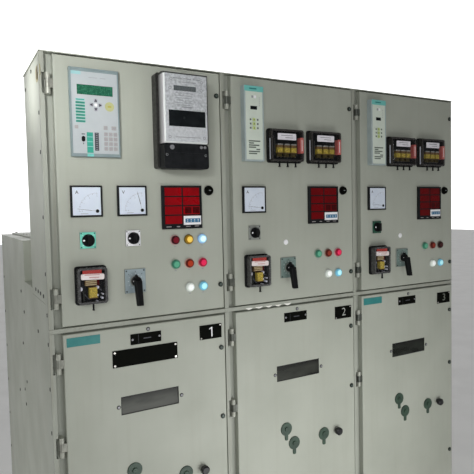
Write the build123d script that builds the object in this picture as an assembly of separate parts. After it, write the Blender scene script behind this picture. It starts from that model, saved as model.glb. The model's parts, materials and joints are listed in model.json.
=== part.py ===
from build123d import *
import os

# A switchboard of three bolted vacuum switchgear cubicles, seen from the front: x runs to the
# right, y runs from the doors to the rear covers, z runs up from the floor. The origin is at the
# middle of the footprint on the floor. All sizes are in millimetres.

# Line-up
BAYS = 3
PITCH = 600.0
HEIGHT = 2100.0
DEPTH = 1400.0

# Sheet metal
WALL = 3.0
SHEET = 2.0
POST_SHEET = 2.5
BEND = 3.0
SEAM = 1.0
SWING_GAP = 6.0
CUT_RUN = 1.0

# Depths behind the door face
STRIP_FACE = 6.0
FRAME_FACE = 24.0
POST_DEPTH = 36.0
LV_DEPTH = 335.0
STEP_DEPTH = 540.0
SHUTTER_DEPTH = 800.0
SIDE_SEAM_DEPTH = 317.0
SIDE_REAR_SEAM_DEPTH = 650.0
REAR_COVER_DEPTH = 20.0
REAR_OVERHANG = 5.0
END_INSET = 3.0

# Levels
BASE_HEIGHT = 100.0
SILL_GAP = 8.0
ROOF_GAP = 5.0
DOOR_SPACING = 25.0
LV_DOOR_HEIGHT = 816.0
SIDE_SEAM_RISE = 64.0
LOW_ROOF_RISE = 87.0
HIGH_ROOF_RISE = 244.0
FRAME_LAP = 15.0

# Doors, measured from the sides of their bay
DOOR_LEFT = 38.0
DOOR_RIGHT_MARGIN = 8.0
DOOR_DEPTH = 22.0
DOOR_LIP = 14.0
POST_LEFT_WIDTH = 46.0
POST_RIGHT_WIDTH = 26.0
STRIP_WIDTH = 14.0
HAT_PLACES = (100.0, 500.0)
HAT_WIDTH = 40.0
HAT_DEPTH = 16.0
HAT_FOOT = 12.0

# Hinges
HINGE_X = 24.0
HINGE_DEPTH = 7.0
HINGE_RADIUS = 7.5
HINGE_PIN_RADIUS = 3.5
HINGE_HEIGHT = 62.0
HINGE_MIDDLE = 26.0
HINGE_GAP = 0.5
HINGE_LEAF = 3.0
HINGE_NOTCH = 7.0
ARM_THICKNESS = 12.0
LV_HINGE_INSET = 86.0
HV_HINGE_INSET = 88.0
HV_HINGE_SPACING = 259.0
RUN_FIT = 0.3

# Latches
LATCH_RADIUS = 8.5
LATCH_PROUD = 5.0
LATCH_BODY_RADIUS = 7.0
LATCH_BODY = 18.0
LATCH_SLOT = 2.5
LATCH_BEVEL = 1.2
LV_LATCH_INSET = 13.0
HV_LATCH_SIDE_INSET = 16.0
LV_LATCH_RISE = 84.0
LV_LATCH_DROP = 77.0
HV_LATCH_INSET = 115.0
HV_LATCH_SPACING = 248.0

# Instrument fits
CUT_FIT = 1.0
ROUND_FIT = 0.5
BEZEL_LAP = 4.0
BEZEL_RIM = 5.0
BEZEL_POCKET = 2.0
BEZEL_BEVEL = 1.5

# Instrument sizes: width, height, how far it stands out and how far it reaches in
RELAY_SIZE = (150.0, 266.0, 16.0, 175.0)
FEEDER_SIZE = (81.0, 266.0, 26.0, 175.0)
METER_SIZE = (96.0, 96.0, 11.0, 55.0)
MULTIMETER_SIZE = (144.0, 144.0, 11.0, 75.0)
TRIP_SIZE = (97.0, 119.0, 40.0, 90.0)
AUX_SIZE = (152.0, 125.0, 38.0, 90.0)

# Instrument places: from the left side of the bay, and above the lower edge of the door
RELAY_AT = (156.0, 648.0)
FEEDER_AT = (117.0, 650.0)
AMMETER_AT = (122.0, 380.0)
VOLTMETER_AT = (266.0, 380.0)
MULTIMETER_AT = (438.0, 357.0)
TRIP_AT = (126.5, 122.0)
AUX_AT = ((257.5, 577.5), (438.5, 578.5))
SELECTOR_AT = (123.0, 260.0)
SECOND_SELECTOR_AT = (266.5, 260.5)
CONTROL_AT = (269.0, 122.5)
BUTTON_AT = (541.0, 413.0)
ENERGY_AT = (426.0, 635.0)
LAMPS_AT = (411.0, 85.0)
LAMP_SPACING = 50.0
LAMP_ROW_SPACING = 81.5
LAMP_COLUMNS = 3
LAMP_ROWS = (3, 2, 2)

# Relay faces: display and keys, measured from the middle of the unit, and the size of a key
RELAY_DISPLAY = (1.4, 68.5, 110.0, 30.0)
RELAY_KEYS_AT = (45.0, -85.0)
RELAY_KEY_COLUMNS = 3
RELAY_KEY_ROWS = 4
FEEDER_DISPLAY = (-0.7, 55.5, 28.0, 13.0)
FEEDER_KEYS_AT = (-1.0, -1.5)
FEEDER_KEY_COLUMNS = 3
FEEDER_KEY_ROWS = 3
KEY_PITCH = 14.8
KEY = 10.0
DISPLAY_POCKET = 1.5

# Multimeter windows
METER_COLUMNS = 2
METER_ROWS = 4
METER_ROW_HEIGHT = 31.0
METER_BAR = 4.0

# Covered relays
CASE_CORNER = 9.0
CASE_FOOT = 10.0
CASE_STEP = 4.0
CASE_EDGE = 4.0
TRIP_RESETS = 1
AUX_RESETS = 3
RESET_RADIUS = 2.5
RESET_REACH = 22.0
RESET_SETBACK = 12.0
RESET_SPACING = 36.0

# Energy meter
METER_BASE = (162.0, 304.0, 36.0)
METER_BODY = (154.0, 221.0, 50.0)
METER_BODY_SHIFT = 3.0
METER_BODY_DROP = 6.0
METER_CORNER = 8.0
METER_EDGE = 5.0
METER_LUG = (24.0, 5.0, 12.0)
METER_LUG_SPREAD = 50.0
METER_DISPLAY = (-4.5, 61.5, 78.0, 17.0)
METER_BAND = (2.0, -33.0, 128.0, 52.0)
COVER_DROP = 4.0
COVER_PROUD = 44.0
COVER_SHOULDER = 22.0
COVER_CORNER = 9.0
COVER_SPLIT = 30.0

# Lamps and the push button
LAMP_FLANGE_RADIUS = 17.0
LAMP_FLANGE = 4.0
LAMP_LENS_RADIUS = 14.5
LAMP_LENS = 9.0
LAMP_BEVEL = 3.0
LAMP_STEM_RADIUS = 11.0
LAMP_STEM = 10.0
LAMP_BLOCK = 26.0
LAMP_BLOCK_DEPTH = 35.0
BUTTON_CAP_RADIUS = 14.0
BUTTON_CAP = 8.0
BUTTON_BEVEL = 1.5

# Selector switches
SELECTOR_PLATE = (50.0, 52.0, 3.0)
SELECTOR_BODY = (42.0, 42.0, 60.0)
SELECTOR_COLLAR_RADIUS = 9.0
SELECTOR_COLLAR = 1.5
KNOB_RADIUS = 19.0
KNOB_SKIRT = 7.0
KNOB_GRIP = (11.0, 35.0, 17.0)
KNOB_DRAFT = 5.0
SHAFT_RADIUS = 4.0
SHAFT_LENGTH = 14.0
KNOB_CLEAR = 0.5

# Control switches
CONTROL_PLATE = (70.0, 78.0, 4.0)
CONTROL_BODY = (56.0, 56.0, 95.0)
CONTROL_COLLAR_RADIUS = 17.5
CONTROL_COLLAR = 5.0
HUB_RADIUS = 15.5
HUB_LENGTH = 15.0
NOSE_WIDTH = 26.0
NOSE_REACH = 22.0
GRIP_REACH = 74.0
GRIP_RISE = 4.0
GRIP_WIDTH = 24.0
GRIP_DEPTH = 20.0
GRIP_SEAT = 5.0
GRIP_TAPER = 3.0
GRIP_LEAN = 16.0
GRIP_CORNER = 5.0

# Breaker door, measured from the left side of the bay and down from the upper edge of the door
WINDOW_AT = (310.0, 254.0)
WINDOW_SIZE = (200.0, 60.0)
WINDOW_LAP = 8.0
PANE = 4.0
KEY_COVERS_AT = ((248.0, 473.0), (284.0, 535.0), (429.0, 532.0))
KEY_COVER_RADIUS = 25.0
KEY_COVER = 4.0
KEY_COVER_TAIL = (14.0, 44.0)
KEY_COVER_TAIL_CORNER = 4.5
KEY_COVER_NECK_RADIUS = 9.0
DOOR_KNOB_AT = (494.0, 532.0)
DOOR_KNOB_RADIUS = 15.0
DOOR_KNOB_LENGTH = 16.0
DOOR_KNOB_BEVEL = 4.0
DOOR_KNOB_STEM_RADIUS = 8.0
DOOR_KNOB_STEM = 10.0

# Breaker truck
TRUCK_FRONT_DEPTH = 200.0
TRUCK_WIDTH = 470.0
TRUCK_BODY_DEPTH = 260.0
TRUCK_DROP = 191.0
TRUCK_EDGE = 12.0
CHASSIS_WIDTH = 500.0
CHASSIS_LENGTH = 500.0
CHASSIS_HEIGHT = 90.0
CHASSIS_SHEET = 5.0
WHEEL_RADIUS = 50.0
WHEEL_WIDTH = 24.0
WHEEL_SETBACK = 70.0
AXLE_RADIUS = 12.0
RAIL_HEIGHT = 12.0
RAIL_WIDTH = 34.0
TRUCK_PANEL = (300.0, 150.0, 8.0)
TRUCK_PANEL_DROP = 150.0
TRUCK_BUTTON_RADIUS = 15.0
TRUCK_BUTTON_SPREAD = 45.0
CRANK_SOCKET_RADIUS = 12.0
CRANK_SOCKET_DEPTH = 40.0
CRANK_SOCKET_OFFSET = 110.0
HAND_GRIP = (28.0, 120.0, 25.0)
HAND_GRIP_INSET = 50.0
HAND_GRIP_DROP = 420.0
POLES = 3
POLE_PITCH = 150.0
POLE_WIDTH = 100.0
POLE_DEPTH = 140.0
POLE_CORNER = 20.0
POLE_RISE = 180.0
ARM_DROP = 60.0
ARM_SPACING = 310.0
ARM_RADIUS = 26.0
CONTACT_RADIUS = 38.0
CONTACT_LENGTH = 50.0
CONTACT_CLEAR = 10.0

# Base and foundation bolts
CHANNEL_DEPTH = 60.0
CHANNEL_SHEET = 6.0
BOLT_HOLE_RADIUS = 9.0
BOLT_INSET_X = 60.0

# Rear covers and roof flaps
COVERS_PER_BAY = 3
COVER_GAP = 4.0
COVER_MARGIN = 8.0
FLAP_MARGIN = 50.0
FLAP_RISE = 8.0
FLAPS_PER_BAY = 2

WIDTH = BAYS * PITCH
METER_REACH = METER_BASE[2] + METER_BODY[2]
DOOR_FACE_Y = -(DEPTH - METER_REACH) / 2
DOOR_RIGHT = PITCH - DOOR_RIGHT_MARGIN
LV_LATCH_X = DOOR_RIGHT - LV_LATCH_INSET
HV_LATCH_X = DOOR_RIGHT - HV_LATCH_SIDE_INSET
LV_DOOR_TOP = HEIGHT - WALL - ROOF_GAP
LV_DOOR_BOTTOM = LV_DOOR_TOP - LV_DOOR_HEIGHT
HV_DOOR_TOP = LV_DOOR_BOTTOM - DOOR_SPACING
HV_DOOR_BOTTOM = BASE_HEIGHT + SILL_GAP
SIDE_SEAM_LEVEL = LV_DOOR_BOTTOM + SIDE_SEAM_RISE
LOW_ROOF_LEVEL = LV_DOOR_BOTTOM + LOW_ROOF_RISE
HIGH_ROOF_LEVEL = LV_DOOR_BOTTOM + HIGH_ROOF_RISE
RAIL_TOP = BASE_HEIGHT + WALL + RAIL_HEIGHT
LV_HINGE_LEVELS = (LV_DOOR_BOTTOM + LV_HINGE_INSET, LV_DOOR_TOP - LV_HINGE_INSET)
LV_LATCH_LEVELS = (LV_DOOR_BOTTOM + LV_LATCH_RISE, LV_DOOR_TOP - LV_LATCH_DROP)


def mirrored_levels(inset, spacing):
    """Two levels up from the foot of the breaker door and two down from its top."""
    low = (HV_DOOR_BOTTOM + inset, HV_DOOR_BOTTOM + inset + spacing)
    return low + (HV_DOOR_TOP - inset - spacing, HV_DOOR_TOP - inset)


HV_HINGE_LEVELS = mirrored_levels(HV_HINGE_INSET, HV_HINGE_SPACING)
HV_LATCH_LEVELS = mirrored_levels(HV_LATCH_INSET, HV_LATCH_SPACING)


# Places
def bay_x(bay, local):
    return -WIDTH / 2 + bay * PITCH + local


def deep(depth):
    return DOOR_FACE_Y + depth


def lv_spot(bay, place):
    return bay_x(bay, place[0]), LV_DOOR_BOTTOM + place[1]


def hv_spot(bay, place):
    return bay_x(bay, place[0]), HV_DOOR_TOP - place[1]


def beside(at, offset):
    return at[0] + offset[0], at[1] + offset[1]


# Basic forms. The ones on a door take the place on it and their near and far depths.
def block(x0, x1, y0, y1, z0, z1):
    middle = Pos((x0 + x1) / 2, (y0 + y1) / 2, (z0 + z1) / 2)
    return middle * Box(x1 - x0, y1 - y0, z1 - z0)


def column(x, y, z0, z1, radius):
    return Pos(x, y, (z0 + z1) / 2) * Cylinder(radius, z1 - z0)


def slab(at, width, height, near, far):
    x, z = at
    return block(x - width / 2, x + width / 2, deep(near), deep(far), z - height / 2, z + height / 2)


def disc(at, radius, near, far):
    return Pos(at[0], deep((near + far) / 2), at[1]) * Rot(90, 0, 0) * Cylinder(radius, far - near)


def facing(at, depth):
    """A drawing plane at a depth, turned to the front with its second axis upright."""
    return Plane(origin=(at[0], deep(depth), at[1]), x_dir=(1, 0, 0), z_dir=(0, -1, 0))


def front_edges(solid):
    return solid.faces().sort_by(Axis.Y)[0].edges()


def button(at, radius, near, far, bevel):
    """A round piece with a bevelled front edge."""
    return chamfer(front_edges(disc(at, radius, near, far)), bevel)


def channel(x0, x1, y0, y1, z0, z1, sheet, open_side):
    """A vertical folded post with its web at one side in y and its open side at the other."""
    outside = block(x0, x1, y0, y1, z0, z1)
    if open_side == "rear":
        return outside - block(x0 + sheet, x1 - sheet, y0 + sheet, y1, z0, z1)
    return outside - block(x0 + sheet, x1 - sheet, y0, y1 - sheet, z0, z1)


def bent_rail(x0, x1, y0, y1, z0, z1, sheet, open_side):
    """A horizontal folded rail along x, open to the front or to the rear."""
    outside = block(x0, x1, y0, y1, z0, z1)
    if open_side == "rear":
        return outside - block(x0, x1, y0 + sheet, y1, z0 + sheet, z1 - sheet)
    return outside - block(x0, x1, y0, y1 - sheet, z0 + sheet, z1 - sheet)


def inside(bay):
    """The two inner faces of the walls beside a bay; the end walls stand in from the overall width."""
    left = bay_x(bay, END_INSET + WALL if bay == 0 else WALL)
    right = bay_x(bay + 1, -END_INSET - WALL if bay == BAYS - 1 else -WALL)
    return left, right


# Base
def base_rails():
    front_0, front_1 = deep(FRAME_FACE), deep(FRAME_FACE + CHANNEL_DEPTH)
    rear_0, rear_1 = deep(DEPTH - REAR_COVER_DEPTH - CHANNEL_DEPTH), deep(DEPTH - REAR_COVER_DEPTH)
    left, right = -WIDTH / 2, WIDTH / 2
    front = bent_rail(left, right, front_0, front_1, 0, BASE_HEIGHT, CHANNEL_SHEET, "rear")
    rear = bent_rail(left, right, rear_0, rear_1, 0, BASE_HEIGHT, CHANNEL_SHEET, "front")
    rails = []
    for rail, y in ((front, (front_0 + front_1) / 2), (rear, (rear_0 + rear_1) / 2)):
        for x in (left + BOLT_INSET_X, right - BOLT_INSET_X):
            rail -= column(x, y, -CUT_RUN, CHANNEL_SHEET + CUT_RUN, BOLT_HOLE_RADIUS)
        rails.append(rail)
    return rails


def base_cross_rails():
    y0 = deep(FRAME_FACE + CHANNEL_DEPTH)
    y1 = deep(DEPTH - REAR_COVER_DEPTH - CHANNEL_DEPTH)
    rails = []
    for bay in range(BAYS + 1):
        x0 = max(-WIDTH / 2, bay_x(bay, -CHANNEL_DEPTH / 2))
        x1 = min(WIDTH / 2, bay_x(bay, CHANNEL_DEPTH / 2))
        inside = block(x0 + CHANNEL_SHEET, x1 - CHANNEL_SHEET, y0, y1, 0, BASE_HEIGHT - CHANNEL_SHEET)
        rails.append(block(x0, x1, y0, y1, 0, BASE_HEIGHT) - inside)
    return rails


def wheel_track(bay, side):
    return bay_x(bay, PITCH / 2 + side * (CHASSIS_WIDTH / 2 - WHEEL_WIDTH / 2))


def floor_plates():
    top = BASE_HEIGHT + WALL
    plates = []
    for bay in range(BAYS):
        plate = block(*inside(bay), deep(FRAME_FACE + POST_DEPTH),
                      deep(DEPTH - REAR_COVER_DEPTH - POST_DEPTH), BASE_HEIGHT, top)
        for side in (-1, 1):
            x = wheel_track(bay, side)
            plate += block(x - RAIL_WIDTH / 2, x + RAIL_WIDTH / 2,
                           deep(TRUCK_FRONT_DEPTH - WHEEL_RADIUS), deep(SHUTTER_DEPTH), top, RAIL_TOP)
        plates.append(plate)
    return plates


# Frame
def post_span(bay):
    left = bay_x(bay, -POST_RIGHT_WIDTH) if bay > 0 else inside(bay)[0]
    right = bay_x(bay, POST_LEFT_WIDTH) if bay < BAYS else inside(bay - 1)[1]
    return left, right


def front_posts():
    y0, y1 = deep(FRAME_FACE), deep(FRAME_FACE + POST_DEPTH)
    return [channel(*post_span(bay), y0, y1, BASE_HEIGHT, HEIGHT - WALL, POST_SHEET, "rear")
            for bay in range(BAYS + 1)]


def rear_posts():
    y1 = deep(DEPTH - REAR_COVER_DEPTH)
    y0 = y1 - POST_DEPTH
    return [channel(*post_span(bay), y0, y1, BASE_HEIGHT, HIGH_ROOF_LEVEL - WALL, POST_SHEET, "front")
            for bay in range(BAYS + 1)]


def front_rails():
    """The sill, the rail between the two doors and the head of every bay."""
    levels = ((BASE_HEIGHT, HV_DOOR_BOTTOM + FRAME_LAP),
              (HV_DOOR_TOP - FRAME_LAP, LV_DOOR_BOTTOM + FRAME_LAP),
              (LV_DOOR_TOP - FRAME_LAP, HEIGHT - WALL))
    y0, y1 = deep(FRAME_FACE), deep(FRAME_FACE + POST_DEPTH)
    rails = []
    for bay in range(BAYS):
        x0, x1 = post_span(bay)[1], post_span(bay + 1)[0]
        for z0, z1 in levels:
            rails.append(bent_rail(x0, x1, y0, y1, z0, z1, POST_SHEET, "rear"))
    return rails


def trim_strips():
    """Raised cover strips over the joints of the bays, notched beside each hinge, and over the rail
    between the doors."""
    band_0, band_1 = HV_DOOR_TOP + SWING_GAP, LV_DOOR_BOTTOM - SWING_GAP
    spans = ((BASE_HEIGHT, band_0 - SEAM), (band_1 + SEAM, HEIGHT - WALL))
    y0, y1 = deep(STRIP_FACE), deep(FRAME_FACE)
    strips = []
    for bay in range(BAYS):
        left = -WIDTH / 2 if bay == 0 else bay_x(bay, DOOR_RIGHT + SWING_GAP - PITCH)
        for (z0, z1), levels in zip(spans, (HV_HINGE_LEVELS, LV_HINGE_LEVELS)):
            edge = bay_x(bay, STRIP_WIDTH)
            strip = channel(left, edge, y0, y1, z0, z1, SHEET, "rear")
            for level in levels:
                low, high = level - HINGE_HEIGHT / 2, level + HINGE_HEIGHT / 2
                strip -= block(edge - HINGE_NOTCH, edge, y0, y1, low, high)
            strips.append(strip)
        right = WIDTH / 2 if bay == BAYS - 1 else bay_x(bay, DOOR_RIGHT + SWING_GAP - SEAM)
        strips.append(bent_rail(left, right, y0, y1, band_0, band_1, SHEET, "rear"))
    for z0, z1 in spans:
        strips.append(block(bay_x(BAYS - 1, DOOR_RIGHT + SWING_GAP), WIDTH / 2, y0, y1, z0, z1))
    return strips


# Walls
def end_walls():
    """Both ends: a front sheet and two rear sheets of the breaker part, and the instrument side."""
    front, seam, rear_seam = deep(FRAME_FACE), deep(SIDE_SEAM_DEPTH), deep(SIDE_REAR_SEAM_DEPTH)
    rear, gap, roof = deep(DEPTH - REAR_COVER_DEPTH), SEAM / 2, HIGH_ROOF_LEVEL - WALL
    walls = []
    left, right = inside(0)[0], inside(BAYS - 1)[1]
    for x0, x1 in ((left - WALL, left), (right, right + WALL)):
        walls.append(block(x0, x1, front, seam - gap, BASE_HEIGHT, SIDE_SEAM_LEVEL - gap))
        middle = block(x0, x1, seam + gap, rear_seam - gap, BASE_HEIGHT, roof)
        middle -= block(x0, x1, seam, deep(STEP_DEPTH - WALL), LOW_ROOF_LEVEL - WALL, HIGH_ROOF_LEVEL)
        middle -= block(x0, x1, seam, deep(LV_DEPTH), SIDE_SEAM_LEVEL - gap, HIGH_ROOF_LEVEL)
        walls.append(middle)
        walls.append(block(x0, x1, rear_seam + gap, rear, BASE_HEIGHT, roof))
        walls.append(block(x0, x1, front, deep(LV_DEPTH), SIDE_SEAM_LEVEL + gap, HEIGHT - WALL))
    return walls


def partitions():
    """The double walls between the bays, in the breaker part and in the instrument part."""
    y0, y1 = deep(FRAME_FACE + POST_SHEET), deep(DEPTH - REAR_COVER_DEPTH - POST_SHEET)
    walls = []
    for bay in range(1, BAYS):
        x0, x1 = bay_x(bay, -WALL), bay_x(bay, WALL)
        wall = block(x0, x1, y0, y1, BASE_HEIGHT, HIGH_ROOF_LEVEL - WALL)
        wall -= block(x0, x1, y0, deep(STEP_DEPTH - WALL), LOW_ROOF_LEVEL - WALL, HIGH_ROOF_LEVEL)
        walls.append(wall)
        walls.append(block(x0, x1, y0, deep(LV_DEPTH), LOW_ROOF_LEVEL, HEIGHT - WALL))
    return walls


def inner_plates(y0, y1, z0, z1):
    return [block(*inside(bay), y0, y1, z0, z1) for bay in range(BAYS)]


def shutter_plates():
    return inner_plates(deep(SHUTTER_DEPTH), deep(SHUTTER_DEPTH + WALL), BASE_HEIGHT + WALL,
                        LOW_ROOF_LEVEL - WALL)


def busbar_fronts():
    return inner_plates(deep(STEP_DEPTH - WALL), deep(STEP_DEPTH), LOW_ROOF_LEVEL - WALL,
                        HIGH_ROOF_LEVEL - WALL)


def lv_back_plates():
    return inner_plates(deep(LV_DEPTH - WALL), deep(LV_DEPTH), LV_DOOR_BOTTOM + FRAME_LAP, HEIGHT - WALL)


def lv_floors_and_roofs():
    top = LV_DOOR_BOTTOM + FRAME_LAP
    plates = inner_plates(deep(FRAME_FACE + POST_DEPTH), deep(LV_DEPTH), top - WALL, top)
    for bay in range(BAYS):
        x0 = bay_x(bay, SEAM / 2 if bay else 0)
        x1 = bay_x(bay + 1, -SEAM / 2 if bay < BAYS - 1 else 0)
        plates.append(block(x0, x1, deep(SHEET), deep(LV_DEPTH), HEIGHT - WALL, HEIGHT))
    return plates


def hv_roofs():
    """The low roof behind the instrument part and the high roof with its pressure flaps."""
    y0, y1 = deep(STEP_DEPTH - WALL), deep(DEPTH)
    flap_length = (y1 - y0 - FLAP_MARGIN * (FLAPS_PER_BAY + 1)) / FLAPS_PER_BAY
    plates = []
    for bay in range(BAYS):
        x0, x1 = bay_x(bay, SEAM / 2), bay_x(bay, PITCH - SEAM / 2)
        plates.append(block(x0, x1, deep(LV_DEPTH), y0, LOW_ROOF_LEVEL - WALL, LOW_ROOF_LEVEL))
        roof = block(x0, x1, y0, y1, HIGH_ROOF_LEVEL - WALL, HIGH_ROOF_LEVEL)
        for flap in range(FLAPS_PER_BAY):
            start = y0 + FLAP_MARGIN + flap * (flap_length + FLAP_MARGIN)
            lid = block(x0 + FLAP_MARGIN, x1 - FLAP_MARGIN, start, start + flap_length,
                        HIGH_ROOF_LEVEL, HIGH_ROOF_LEVEL + FLAP_RISE)
            roof += chamfer(lid.faces().sort_by(Axis.Z)[-1].edges(), BEND)
        plates.append(roof)
    return plates


def rear_covers():
    bottom = BASE_HEIGHT + COVER_MARGIN
    pitch = (HIGH_ROOF_LEVEL - WALL - COVER_MARGIN - bottom + COVER_GAP) / COVERS_PER_BAY
    y0, y1 = deep(DEPTH - REAR_COVER_DEPTH), deep(DEPTH - REAR_OVERHANG)
    covers = []
    for bay in range(BAYS):
        x0, x1 = bay_x(bay, COVER_MARGIN), bay_x(bay, PITCH - COVER_MARGIN)
        for row in range(COVERS_PER_BAY):
            z0 = bottom + row * pitch
            z1 = z0 + pitch - COVER_GAP
            tray = block(x0, x1, y0, y1, z0, z1)
            tray = chamfer(tray.faces().sort_by(Axis.Y)[-1].edges(), BEND)
            tray -= block(x0 + SHEET, x1 - SHEET, y0, y1 - SHEET, z0 + SHEET, z1 - SHEET)
            covers.append(tray)
    return covers


# Breaker trucks
def truck_chassis(bay):
    x, half = bay_x(bay, PITCH / 2), CHASSIS_WIDTH / 2 - WHEEL_WIDTH
    y0 = deep(TRUCK_FRONT_DEPTH)
    y1 = y0 + CHASSIS_LENGTH
    z0 = RAIL_TOP + WHEEL_RADIUS
    z1 = z0 + CHASSIS_HEIGHT
    inset = half - CHASSIS_SHEET
    chassis = block(x - half, x + half, y0, y1, z0, z1)
    chassis -= block(x - inset, x + inset, y0 + CHASSIS_SHEET, y1 - CHASSIS_SHEET, z0, z1 - CHASSIS_SHEET)
    for y in (y0 + WHEEL_SETBACK, y1 - WHEEL_SETBACK):
        chassis += Pos(x, y, z0) * Rot(0, 90, 0) * Cylinder(AXLE_RADIUS, 2 * half)
        for side in (-1, 1):
            wheel = Rot(0, 90, 0) * Cylinder(WHEEL_RADIUS, WHEEL_WIDTH)
            chassis += Pos(wheel_track(bay, side), y, z0) * wheel
    return chassis


def truck_housing(bay):
    """The mechanism housing, with a sunk panel of buttons, a crank socket and two hand grips."""
    x, top, near = bay_x(bay, PITCH / 2), HV_DOOR_TOP - TRUCK_DROP, TRUCK_FRONT_DEPTH
    bottom = RAIL_TOP + WHEEL_RADIUS + CHASSIS_HEIGHT
    middle = (x, (bottom + top) / 2)
    housing = slab(middle, TRUCK_WIDTH, top - bottom, near, near + TRUCK_BODY_DEPTH)
    housing = chamfer(front_edges(housing), TRUCK_EDGE)
    panel = (x, top - TRUCK_PANEL_DROP)
    width, height, sunk = TRUCK_PANEL
    housing -= slab(panel, width, height, near, near + sunk)
    for side in (-1, 1):
        push = beside(panel, (side * TRUCK_BUTTON_SPREAD, 0))
        housing += disc(push, TRUCK_BUTTON_RADIUS, near, near + sunk)
        grip = (x + side * (TRUCK_WIDTH / 2 - HAND_GRIP_INSET), top - HAND_GRIP_DROP)
        housing -= slab(grip, HAND_GRIP[0], HAND_GRIP[1], near, near + HAND_GRIP[2])
    socket = beside(panel, (CRANK_SOCKET_OFFSET, 0))
    return housing - disc(socket, CRANK_SOCKET_RADIUS, near, near + CRANK_SOCKET_DEPTH)


def truck_pole(bay, index):
    """One moulded pole with its two contact arms."""
    x = bay_x(bay, PITCH / 2 + (index - (POLES - 1) / 2) * POLE_PITCH)
    top = HV_DOOR_TOP - TRUCK_DROP
    bottom = RAIL_TOP + WHEEL_RADIUS + CHASSIS_HEIGHT + POLE_RISE
    front = TRUCK_FRONT_DEPTH + TRUCK_BODY_DEPTH
    tip = SHUTTER_DEPTH - CONTACT_CLEAR
    pole = slab((x, (bottom + top) / 2), POLE_WIDTH, top - bottom, front, front + POLE_DEPTH)
    pole = fillet(pole.faces().sort_by(Axis.Y)[-1].edges().filter_by(Axis.Z), POLE_CORNER)
    for level in (top - ARM_DROP, top - ARM_DROP - ARM_SPACING):
        pole += disc((x, level), ARM_RADIUS, front + POLE_DEPTH, tip - CONTACT_LENGTH)
        pole += disc((x, level), CONTACT_RADIUS, tip - CONTACT_LENGTH, tip)
    return pole


def breaker_truck(bay):
    truck = truck_chassis(bay) + truck_housing(bay)
    for index in range(POLES):
        truck += truck_pole(bay, index)
    return truck


# Hinges and latches
def hinge_fixed(bay, level):
    """Two round-nosed blocks on one pin, bolted to the post."""
    x, y = bay_x(bay, HINGE_X), deep(HINGE_DEPTH)
    reach, inner = HINGE_HEIGHT / 2, HINGE_MIDDLE / 2 + HINGE_GAP
    hinge = column(x, y, level - reach, level + reach, HINGE_PIN_RADIUS)
    for start, end in ((level - reach, level - inner), (level + inner, level + reach)):
        hinge += column(x, y, start, end, HINGE_RADIUS)
        hinge += block(x - HINGE_RADIUS, x + HINGE_RADIUS, y, deep(FRAME_FACE), start, end)
    return hinge


def hinge_moving(bay, level):
    """The middle knuckle, with an arm and a leaf that lies on the door's folded edge."""
    x, y = bay_x(bay, HINGE_X), deep(HINGE_DEPTH)
    edge = bay_x(bay, DOOR_LEFT)
    z0, z1 = level - HINGE_MIDDLE / 2, level + HINGE_MIDDLE / 2
    hinge = column(x, y, z0, z1, HINGE_RADIUS)
    hinge += block(x, edge, y - ARM_THICKNESS / 2, y + ARM_THICKNESS / 2, z0, z1)
    hinge += block(edge - HINGE_LEAF, edge, y - ARM_THICKNESS / 2, deep(DOOR_DEPTH - SHEET), z0, z1)
    return hinge - column(x, y, z0, z1, HINGE_PIN_RADIUS + RUN_FIT)


def latch(at):
    """A quarter-turn lock: a round head with a slot, and its body inside the door."""
    head = button(at, LATCH_RADIUS, -LATCH_PROUD, 0, LATCH_BEVEL)
    head -= slab(at, 2 * LATCH_RADIUS, LATCH_SLOT, -LATCH_PROUD, -LATCH_PROUD + LATCH_SLOT)
    return head + disc(at, LATCH_BODY_RADIUS, 0, LATCH_BODY)


def door_fittings(bay, hinge_levels, latch_x, latch_levels):
    latches = [latch((bay_x(bay, latch_x), level)) for level in latch_levels]
    return [hinge_moving(bay, level) for level in hinge_levels] + latches


# Doors
def door_tray(bay, z0, z1):
    """A folded sheet door: the face, four returns and a lip round the back."""
    x0, x1 = bay_x(bay, DOOR_LEFT), bay_x(bay, DOOR_RIGHT)
    y0, y1 = deep(0), deep(DOOR_DEPTH)
    tray = block(x0, x1, y0, y1, z0, z1)
    tray = fillet(front_edges(tray), BEND)
    tray -= block(x0 + SHEET, x1 - SHEET, y0 + SHEET, y1 - SHEET, z0 + SHEET, z1 - SHEET)
    return tray - block(x0 + DOOR_LIP, x1 - DOOR_LIP, y1 - SHEET, y1, z0 + DOOR_LIP, z1 - DOOR_LIP)


def stiffener(bay, local):
    """A hat section behind the sheet of the breaker door."""
    x, half = bay_x(bay, local), HAT_WIDTH / 2
    y0, y1 = deep(SHEET), deep(SHEET + HAT_DEPTH)
    z0, z1 = HV_DOOR_BOTTOM + DOOR_LIP, HV_DOOR_TOP - DOOR_LIP
    hat = block(x - half, x + half, y0, y1, z0, z1)
    hat += block(x - half - HAT_FOOT, x + half + HAT_FOOT, y0, y0 + SHEET, z0, z1)
    return hat - block(x - half + SHEET, x + half - SHEET, y0, y1 - SHEET, z0, z1)


def sheet_cut(at, width, height):
    return slab(at, width, height, -CUT_RUN, SHEET + CUT_RUN)


def round_cut(at, radius):
    return disc(at, radius + ROUND_FIT, -CUT_RUN, SHEET + CUT_RUN)


def unit_cut(at, size):
    inset = 2 * (BEZEL_LAP - CUT_FIT)
    return sheet_cut(at, size[0] - inset, size[1] - inset)


# Instruments
def bezel_unit(at, size):
    """A flush instrument: a rimmed bezel on the door and a case behind it."""
    width, height, proud, behind = size
    unit = slab(at, width, height, -proud, 0)
    unit = chamfer(front_edges(unit), BEZEL_BEVEL)
    unit -= slab(at, width - 2 * BEZEL_RIM, height - 2 * BEZEL_RIM, -proud, -proud + BEZEL_POCKET)
    return unit + slab(at, width - 2 * BEZEL_LAP, height - 2 * BEZEL_LAP, 0, behind)


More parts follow.
